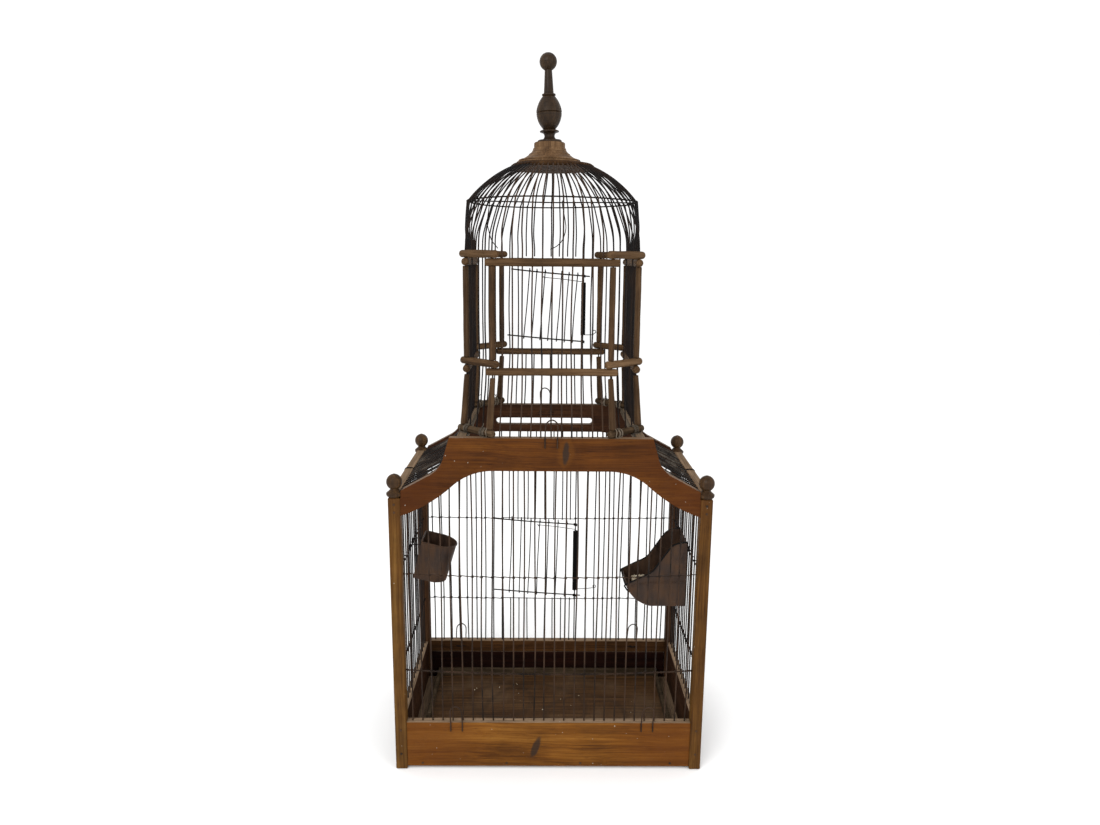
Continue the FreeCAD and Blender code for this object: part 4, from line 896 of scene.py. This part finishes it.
def door(name, hinge, wires_box, bars_box, body, lean, tails):
    """Two bars and seven leaning wires, each wire's ends turned once round its bars."""
    bar = 1.0
    shape = Shape()
    low_bar = bars_box[0].z + 0.9
    high_bar = bars_box[1].z - 0.9
    reach = hinge.x - bars_box[0].x
    rise = 9.0
    bar_y = hinge.y + WIRE + bar + 0.12
    levels = (low_bar, high_bar - rise)
    for level, shift, tail in zip(levels, (-lean * 0.5, lean * 0.3), tails):
        ends = [(hinge.x + tail, bar_y + 0.2, level - tail / reach * rise)]
        ends.append((hinge.x - reach * 0.5, bar_y - 0.1, level + rise * 0.5 - 0.5))
        ends.append((hinge.x - reach + shift, bar_y, level + rise))
        shape.tube(smooth(ends, 8), bar, 8)
        eye(shape, (hinge.x, hinge.y, level), WIRE + bar + 0.1, bar)
    shape.make(name + "_bars_bent", black_wire, "wire", body=body, replaces=[name + "_bars"])
    shape = Shape()
    first, last = wires_box[0].x + CAD_WIRE, wires_box[1].x - CAD_WIRE
    for index, x in enumerate(spread(first, last, 7)):
        slope = rise / reach
        foot = Vector((x - lean * 0.5, bar_y + bar + WIRE + 0.1, levels[0] + slope * (hinge.x - x)))
        head = Vector((x + lean * 0.5, foot.y, levels[1] + slope * (hinge.x - x)))
        foot.x += rng.uniform(-1.2, 1.2)
        head.x += rng.uniform(-1.2, 1.2)
        middle = foot.lerp(head, 0.5) + Vector((rng.uniform(-0.8, 0.8), 0, 0))
        turns = (0.7, 1.5, 2.3, 3.1)
        curl = [Vector((0.3 * t, -1.35 * (1 - math.cos(t)), 1.1 * math.sin(t))) for t in turns]
        curl_low = [foot + Vector((p.x, p.y, -p.z)) for p in reversed(curl)]
        curl_high = [head + p for p in curl]
        shape.tube(smooth(curl_low + [foot, middle, head] + curl_high, 3), WIRE * 0.9, 7)
    shape.make(name + "_wires_bent", wire_iron, "wire", body=body, replaces=[name + "_wires"])


def spring(name, hinge, box, leg_drop, body, wall_tail):
    """A closely wound spring on the hinge wire, one leg on the wall and one on the door."""
    wire = 0.52
    radius = 3.1
    low, high = box
    coil_low, coil_high = low.z + 0.2, high.z - 0.2
    turns = int((coil_high - coil_low) / (2.12 * wire))
    route = []
    for index in range(turns * 14 + 1):
        turn = math.tau * index / 14
        rise = coil_low + wire + (coil_high - coil_low - 2 * wire) * index / (turns * 14)
        across, out = radius * math.cos(turn + math.pi / 2), radius * math.sin(turn + math.pi / 2)
        route.append((hinge.x + across, hinge.y + out, rise))
    shape = Shape()
    foot = Vector(route[0])
    tail_end = Vector((hinge.x + wall_tail, hinge.y + 2.2, foot.z + 2.5))
    hook = [tail_end + Vector((2.2 * math.sin(t), 0, 2.2 * (1 - math.cos(t)))) for t in spread(0.5, 5.2, 9)]
    wall_leg = [*hook[::-1], tail_end, foot + Vector((14, 0, 0.3)), foot + Vector((3, 0.1, 0))]
    shape.tube(smooth(wall_leg, 3) + route, wire, 6)
    shape.make(name + "_coil", black_wire, "wire", replaces=[name])
    shape = Shape()
    top = Vector((hinge.x - 0.6, hinge.y + radius + 0.2, coil_high + 0.7))
    door_end = Vector((low.x + 2, hinge.y + 6.6, coil_high + leg_drop))
    leg = [top, top + Vector((-5, 1.2, 0.4)), top.lerp(door_end, 0.5) + Vector((0, 0.8, 0.4))]
    leg += [door_end, door_end + Vector((-1.5, -3.2, 1)), door_end + Vector((0.4, -4.6, -1))]
    shape.tube(smooth(leg, 5), wire, 6)
    shape.make(name + "_door_leg", black_wire, "wire", body=body)


for tier, lean, tails, wall_tail in (("lower", 4.0, (9, 2), 31), ("upper", 7.0, (2, 9), 17)):
    hinge = Vector(joints[tier + "_door"]["pos_m"]) / MM
    body = tier + "_door"
    door(body, hinge, mm_box(body + "_wires"), mm_box(body + "_bars"), body, lean, tails)
    spring(body + "_spring", hinge, mm_box(body + "_spring"), 6.5, body, wall_tail)

# ---- feeders


CUP_TILT = math.radians(14)


def hooks(name, node, sign, body, slope):
    """Soft-bent hooks where the CAD node has mitred ones. Their shanks follow the cup's back."""
    low, high = mm_box(node)
    wire = 0.8
    shape = Shape()
    inner, outer = (low.x, high.x) if sign > 0 else (high.x, low.x)
    inner += sign * wire
    outer -= sign * wire
    lean = sign * slope
    for y in (low.y + wire, high.y - wire):
        points = [(inner + lean * drop, y, high.z - wire - drop) for drop in (25.5, 14, 4.5, 1.6)]
        points += [(inner + sign * 1.2, y, high.z - wire), (outer - sign * 1.0, y, high.z - wire)]
        points += [(outer, y, high.z - 2.6), (outer, y + 0.4, high.z - 7.5)]
        shape.tube(smooth(points, 4), wire, 8)
    shape.make(name, wire_iron, "wire", body=body, replaces=[node])


hooks("seed_cup_hooks_bent", "seed_cup_hooks", -1, "seed_cup", math.tan(CUP_TILT))
hooks("hopper_feeder_hooks_bent", "hopper_feeder_hooks", 1, "hopper_feeder", 0.0)

CUP_DEPTH, CUP_HALF, CUP_HEIGHT, CUP_HEEL = 47.0, 23.0, 54.0, 226.0
CUP_RIM = 1.0
HOPPER_RIM = 1.1
SEAM = 0.9
cup_back = mm_box("seed_cup")[0].x


def on_cup(x, y, z):
    """A place in the tilted cup's own frame, which starts at the heel of its back."""
    cosine, sine = math.cos(CUP_TILT), math.sin(CUP_TILT)
    return Vector((cup_back + x * cosine + z * sine, y, CUP_HEEL + z * cosine - x * sine))


def circle_arc(back, front, half, count):
    """Plan of the cup: the arc through both back corners and the middle of the front."""
    depth = front - back
    radius = (half**2 + depth**2) / (2 * depth)
    centre = front - radius
    reach = math.atan2(half, back - centre)
    return [(centre + radius * math.cos(t), radius * math.sin(t)) for t in spread(-reach, reach, count)]


shape = Shape()
cheek = CUP_DEPTH * 0.45
plan = circle_arc(cheek, CUP_DEPTH, CUP_HALF, 27)
plan += [(x, CUP_HALF) for x in spread(cheek - 4, 2, 4)]
plan += [(0, y) for y in spread(CUP_HALF - 2, -CUP_HALF + 2, 9)]
plan += [(x, -CUP_HALF) for x in spread(2, cheek - 4, 4)]
outline = [on_cup(x, y, CUP_HEIGHT - 0.3) for x, y in plan]
shape.tube(outline + outline[:2], CUP_RIM, 8)
shape.make("seed_cup_rolled_rim", tin, "tinplate", body="seed_cup")

hopper_high = mm_box("hopper_feeder")[1]
hopper_half = hopper_high.y
hopper_back = hopper_high.x
hopper_top = 281.0
shape = Shape()
crest = [(hopper_back, hopper_top), (182, hopper_top), (169, 277), (160, 266), (150, 251), (140, 238)]
crest += [(123, 229), (105, 219.4), (104.8, 216), (108, 211)]
for sign in (-1, 1):
    y = sign * (hopper_half + 0.3)
    shape.tube(smooth([(x, y, z + 0.2) for x, z in crest], 5), HOPPER_RIM, 8)
lip = [(104.9, -hopper_half, 219), (104.4, 0, 218.6), (104.9, hopper_half, 219)]
shape.tube(smooth(lip, 8), HOPPER_RIM, 8)
shape.make("hopper_rim_wire", black_wire, "tinplate", body="hopper_feeder")

shape = Shape()
for sign in (-1, 1):
    y = sign * (hopper_half + 0.55)
    seam = smooth([(113, y, 217), (128, y, 221), (150, y, 223), (187, y, 223.5)], 6)
    shape.tube(seam, [SEAM] * len(seam), 6)
shape.make("hopper_seams", tin, "tinplate", body="hopper_feeder")


def heap(shape, low, high, level, swell):
    """A low mound filling a rectangle, uneven on top, closed underneath."""
    across, deep = 16, 12
    top = []
    for i in range(across + 1):
        for j in range(deep + 1):
            x = low.x + (high.x - low.x) * i / across
            y = low.y + (high.y - low.y) * j / deep
            edge = math.sin(math.pi * i / across) * math.sin(math.pi * j / deep)
            top.append((x, y, level + swell * edge**0.5 + rng.uniform(-0.5, 0.5)))
    under = [(x, y, low.z) for x, y, _ in top]
    row = deep + 1
    faces = []
    for i in range(across):
        for j in range(deep):
            a = i * row + j
            faces.append((a, a + row, a + row + 1, a + 1))
            b = a + len(top)
            faces.append((b, b + 1, b + row + 1, b + row))
    edge = [i * row for i in range(across + 1)] + [across * row + j for j in range(1, row)]
    edge += [i * row + deep for i in range(across - 1, -1, -1)] + [j for j in range(deep - 1, 0, -1)]
    for a, b in zip(edge, edge[1:] + edge[:1]):
        faces.append((b, a, a + len(top), b + len(top)))
    shape.patch(top + under, faces)
    return top


def grain_of_seed(shape, centre, size):
    """One husk: a pointed oval lying at any angle."""
    spin = Matrix.Rotation(rng.uniform(0, math.tau), 3, "Z")
    spin = spin @ Matrix.Rotation(rng.uniform(-0.5, 0.5), 3, "Y")
    sections = [(-1, 0.05), (-0.6, 0.32), (0, 0.45), (0.6, 0.3), (1, 0.05)]
    route = [Vector(centre) + spin @ Vector((t * size, 0, 0)) for t, _ in sections]
    shape.tube(route, [r * size for _, r in sections], 6)


shape = Shape()
bed_low = Vector((119, -hopper_half + 2.2, 205))
bed_high = Vector((hopper_high.x - 2.5, hopper_half - 2.2, 209))
bed = heap(shape, bed_low, bed_high, 211, 4)
for x, y, z in bed:
    for _ in range(2):
        spot = (x + rng.uniform(-2.2, 2.2), y + rng.uniform(-2.2, 2.2), z + 0.5)
        if bed_low.x + 2 < spot[0] < bed_high.x - 3 and abs(spot[1]) < hopper_half - 4:
            grain_of_seed(shape, spot, rng.uniform(1.5, 2.3))
shape.make("hopper_seed", husk, "grey_wood", body="hopper_feeder")

# ---- loops, lashings and staples

LOOP = 0.85
LOOP_HALF = 7.5
LOOP_RISE = 23
LOOP_LEG = 12
STAPLE = 0.5
CLINCHED = 0.55
LASHING = 0.45


def loop(shape, x, y, top, across_x, lean):
    """An inverted U with its legs down a board, not quite upright."""
    high, low = top + LOOP_RISE, top - LOOP_LEG
    profile = [(-LOOP_HALF, low), (-LOOP_HALF, top)]
    profile += [(-LOOP_HALF + 0.3, high - 7), (-LOOP_HALF * 0.55, high - 1.6)]
    profile += [(0, high)] + [(-a, b) for a, b in reversed(profile)]
    points = []
    for along, z in profile:
        slant = lean * max(0, z - top) / LOOP_RISE
        points.append((x + along + slant, y, z) if across_x else (x, y + along + slant, z))
    shape.tube(smooth(points, 5), LOOP, 8)


loops_low, loops_high = mm_box("wire_loops")
board_top = front_board[1].z
shape = Shape()
for x, lean in ((-120, -1.2), (128, 1.5)):
    loop(shape, x, loops_low.y + LOOP, board_top, True, lean)
for x, lean in ((-138, 1.0), (134, 1.8)):
    loop(shape, x, loops_high.y - LOOP, board_top, True, lean)
loop(shape, 0, loops_low.y + LOOP, arch_top, True, 0.8)
loop(shape, -6, loops_high.y - LOOP, arch_top, True, -1.5)
loop_x = sill_face + LOOP + 0.05
for sign, lean in ((-1, 1.5), (1, -1.2)):
    loop(shape, sign * loop_x, 45.5, arch_top, False, lean)
shape.make("wire_loops_bent", lit_front_wire, "wire", replaces=["wire_loops"])

shape = Shape()
back_inner = mm_box("back_arch_board")[0].y - 0.45
for x in (-13.5, 1.5):
    for level, reach in ((arch_top - 11, 9), (arch_top - 15, 8)):
        staple = [(x - reach * 0.5, back_inner, level - 0.8), (x, back_inner - 0.4, level + 0.5)]
        staple.append((x + reach * 0.5, back_inner, level - 0.3))
        shape.tube(smooth(staple, 4), STAPLE, 6)
rail_inner = mm_box("back_bottom_rail")[0].y - 0.45
for x in (-138, 134):
    for offset, swing in ((-LOOP_HALF, 1), (LOOP_HALF, -1)):
        level = board_top - 9
        start = Vector((x + offset, rail_inner, level))
        bent = [start, start + Vector((swing * 4, -0.7, 1.4))]
        bent += [start + Vector((swing * 9, -0.5, -0.8)), start + Vector((swing * 12, 0, 0.6))]
        shape.tube(smooth(bent, 4), CLINCHED, 6)
eave_low, eave_high = mm_box("left_eave_rail")
eave_z = (eave_low.z + eave_high.z) / 2
for sign in SIDES.values():
    band = []
    for turn in spread(0.6, 2.2 * math.tau, 50):
        across, up = math.cos(turn), math.sin(turn)
        across = math.copysign(abs(across) ** 0.5, across) * 6.5
        up = math.copysign(abs(up) ** 0.5, up) * 6.5
        band.append((sign * eave_x + across, 1.2 * math.sin(turn / 2), eave_z + up))
    shape.tube(band, CLINCHED, 6)
shape.make("clinched_ends", wire_iron, "wire")


def lashing(shape, centre, along, radius, turns, wire, tail):
    """Thin wire wound untidily round a rail, with a loose tail."""
    side = along.orthogonal().normalized()
    other = along.cross(side)
    phase = rng.uniform(0, math.tau)
    route = []
    for turn in spread(0, turns * math.tau, int(turns * 11)):
        drift = (turn / math.tau - turns / 2) * wire * 2.6 + rng.uniform(-0.35, 0.35)
        reach = radius + wire + rng.uniform(0, 0.5)
        around = side * reach * math.cos(turn + phase) + other * reach * math.sin(turn + phase)
        route.append(centre + along * drift + around)
    end = route[-1]
    loose = [end + tail * 0.4 + Vector((rng.uniform(-2, 2), rng.uniform(-2, 2), 1)), end + tail]
    shape.tube(smooth(route + loose, 2), wire, 6)


shape = Shape()
for index in (0, 2, 4, 6):
    ends = [Vector((*splayed_corner(i), base_level)) for i in (index, index + 1)]
    along = (ends[1] - ends[0]).normalized()
    outward = Vector(((ends[0] + ends[1]).x, (ends[0] + ends[1]).y, 0)).normalized()
    for end, sign in zip(ends, (1, -1)):
        for distance in (6.5, 11):
            tail = outward * rng.uniform(-4, 3) + Vector((rng.uniform(-4, 4), 0, rng.uniform(3, 9)))
            wound_at = end + along * sign * distance
            lashing(shape, wound_at, along, DOWEL + 0.3, rng.choice((2.5, 3.5)), LASHING, tail)
        brace = [end + Vector((0, 0, 10)), end + outward * 5.6 + Vector((0, 0, 4))]
        brace.append(end + outward * 5.2 + Vector((0, 0, -3.9)))
        brace.append(end + along * sign * 12 + outward * 4.5 + Vector((0, 0, -4)))
        shape.tube(smooth(brace, 5), LASHING, 6)
shape.make("base_lashings", pale_wire, "wire")

shape = Shape()
for level in (middle_level, top_level):
    for index in range(8):
        corner = Vector((*turret_corner(index), level + step_up / 2))
        tail = Vector((rng.uniform(-3, 3), rng.uniform(-3, 3), 2))
        lashing(shape, corner, Vector((0, 0, 1)), 1.1, 2.5, 0.4, tail)
shape.make("corner_bindings", wire_iron, "wire")

# ---- crumbs on the tray

tray_high = mm_box("tray_floor")[1]
shape = Shape()
for _ in range(16):
    spot = (rng.uniform(-150, 150), rng.triangular(-90, 90, 80), tray_high.z + 0.45)
    grain_of_seed(shape, spot, rng.uniform(0.8, 1.5))
shape.make("spilt_husks", husk, "grey_wood", body="tray")

# ---- floor, light and camera

bpy.ops.mesh.primitive_plane_add(size=14, location=(0, 0, -0.0005))
floor = bpy.context.object
floor.name = "floor"
floor.data.materials.append(pale_floor("floor_paint"))

world = bpy.data.worlds.new("studio")
bpy.context.scene.world = world
world.use_nodes = True
background = world.node_tree.nodes["Background"]
background.inputs["Color"].default_value = (1, 1, 1, 1)
background.inputs["Strength"].default_value = 1.08


def softbox(name, place, target, width, power):
    """A large square lamp that points at a target."""
    data = bpy.data.lights.new(name, "AREA")
    data.shape = "SQUARE"
    data.size = width
    data.energy = power
    lamp = bpy.data.objects.new(name, data)
    lamp.location = place
    lamp.rotation_euler = (Vector(target) - Vector(place)).to_track_quat("-Z", "Y").to_euler()
    bpy.context.scene.collection.objects.link(lamp)


softbox("key", (-1.1, -2.0, 1.9), (0, 0, 0.4), 1.4, 38)
softbox("fill", (1.7, -1.6, 1.2), (0, 0, 0.4), 1.6, 16)

CAMERA_PLACE = Vector((-10.6, -1053.3, 662.7)) * MM
CAMERA_PITCH, CAMERA_YAW, CAMERA_ROLL = -11.15, -0.54, 0.48
camera_data = bpy.data.cameras.new("camera")
camera_data.lens = 25.976
camera_data.sensor_width = 36.0
camera = bpy.data.objects.new("camera", camera_data)
turn = Matrix.Rotation(math.radians(CAMERA_YAW), 4, "Z")
turn = turn @ Matrix.Rotation(math.radians(90 + CAMERA_PITCH), 4, "X")
turn = turn @ Matrix.Rotation(math.radians(CAMERA_ROLL), 4, "Z")
camera.matrix_world = Matrix.Translation(CAMERA_PLACE) @ turn
bpy.context.scene.collection.objects.link(camera)
bpy.context.scene.camera = camera
bpy.context.scene.view_settings.view_transform = "Standard"
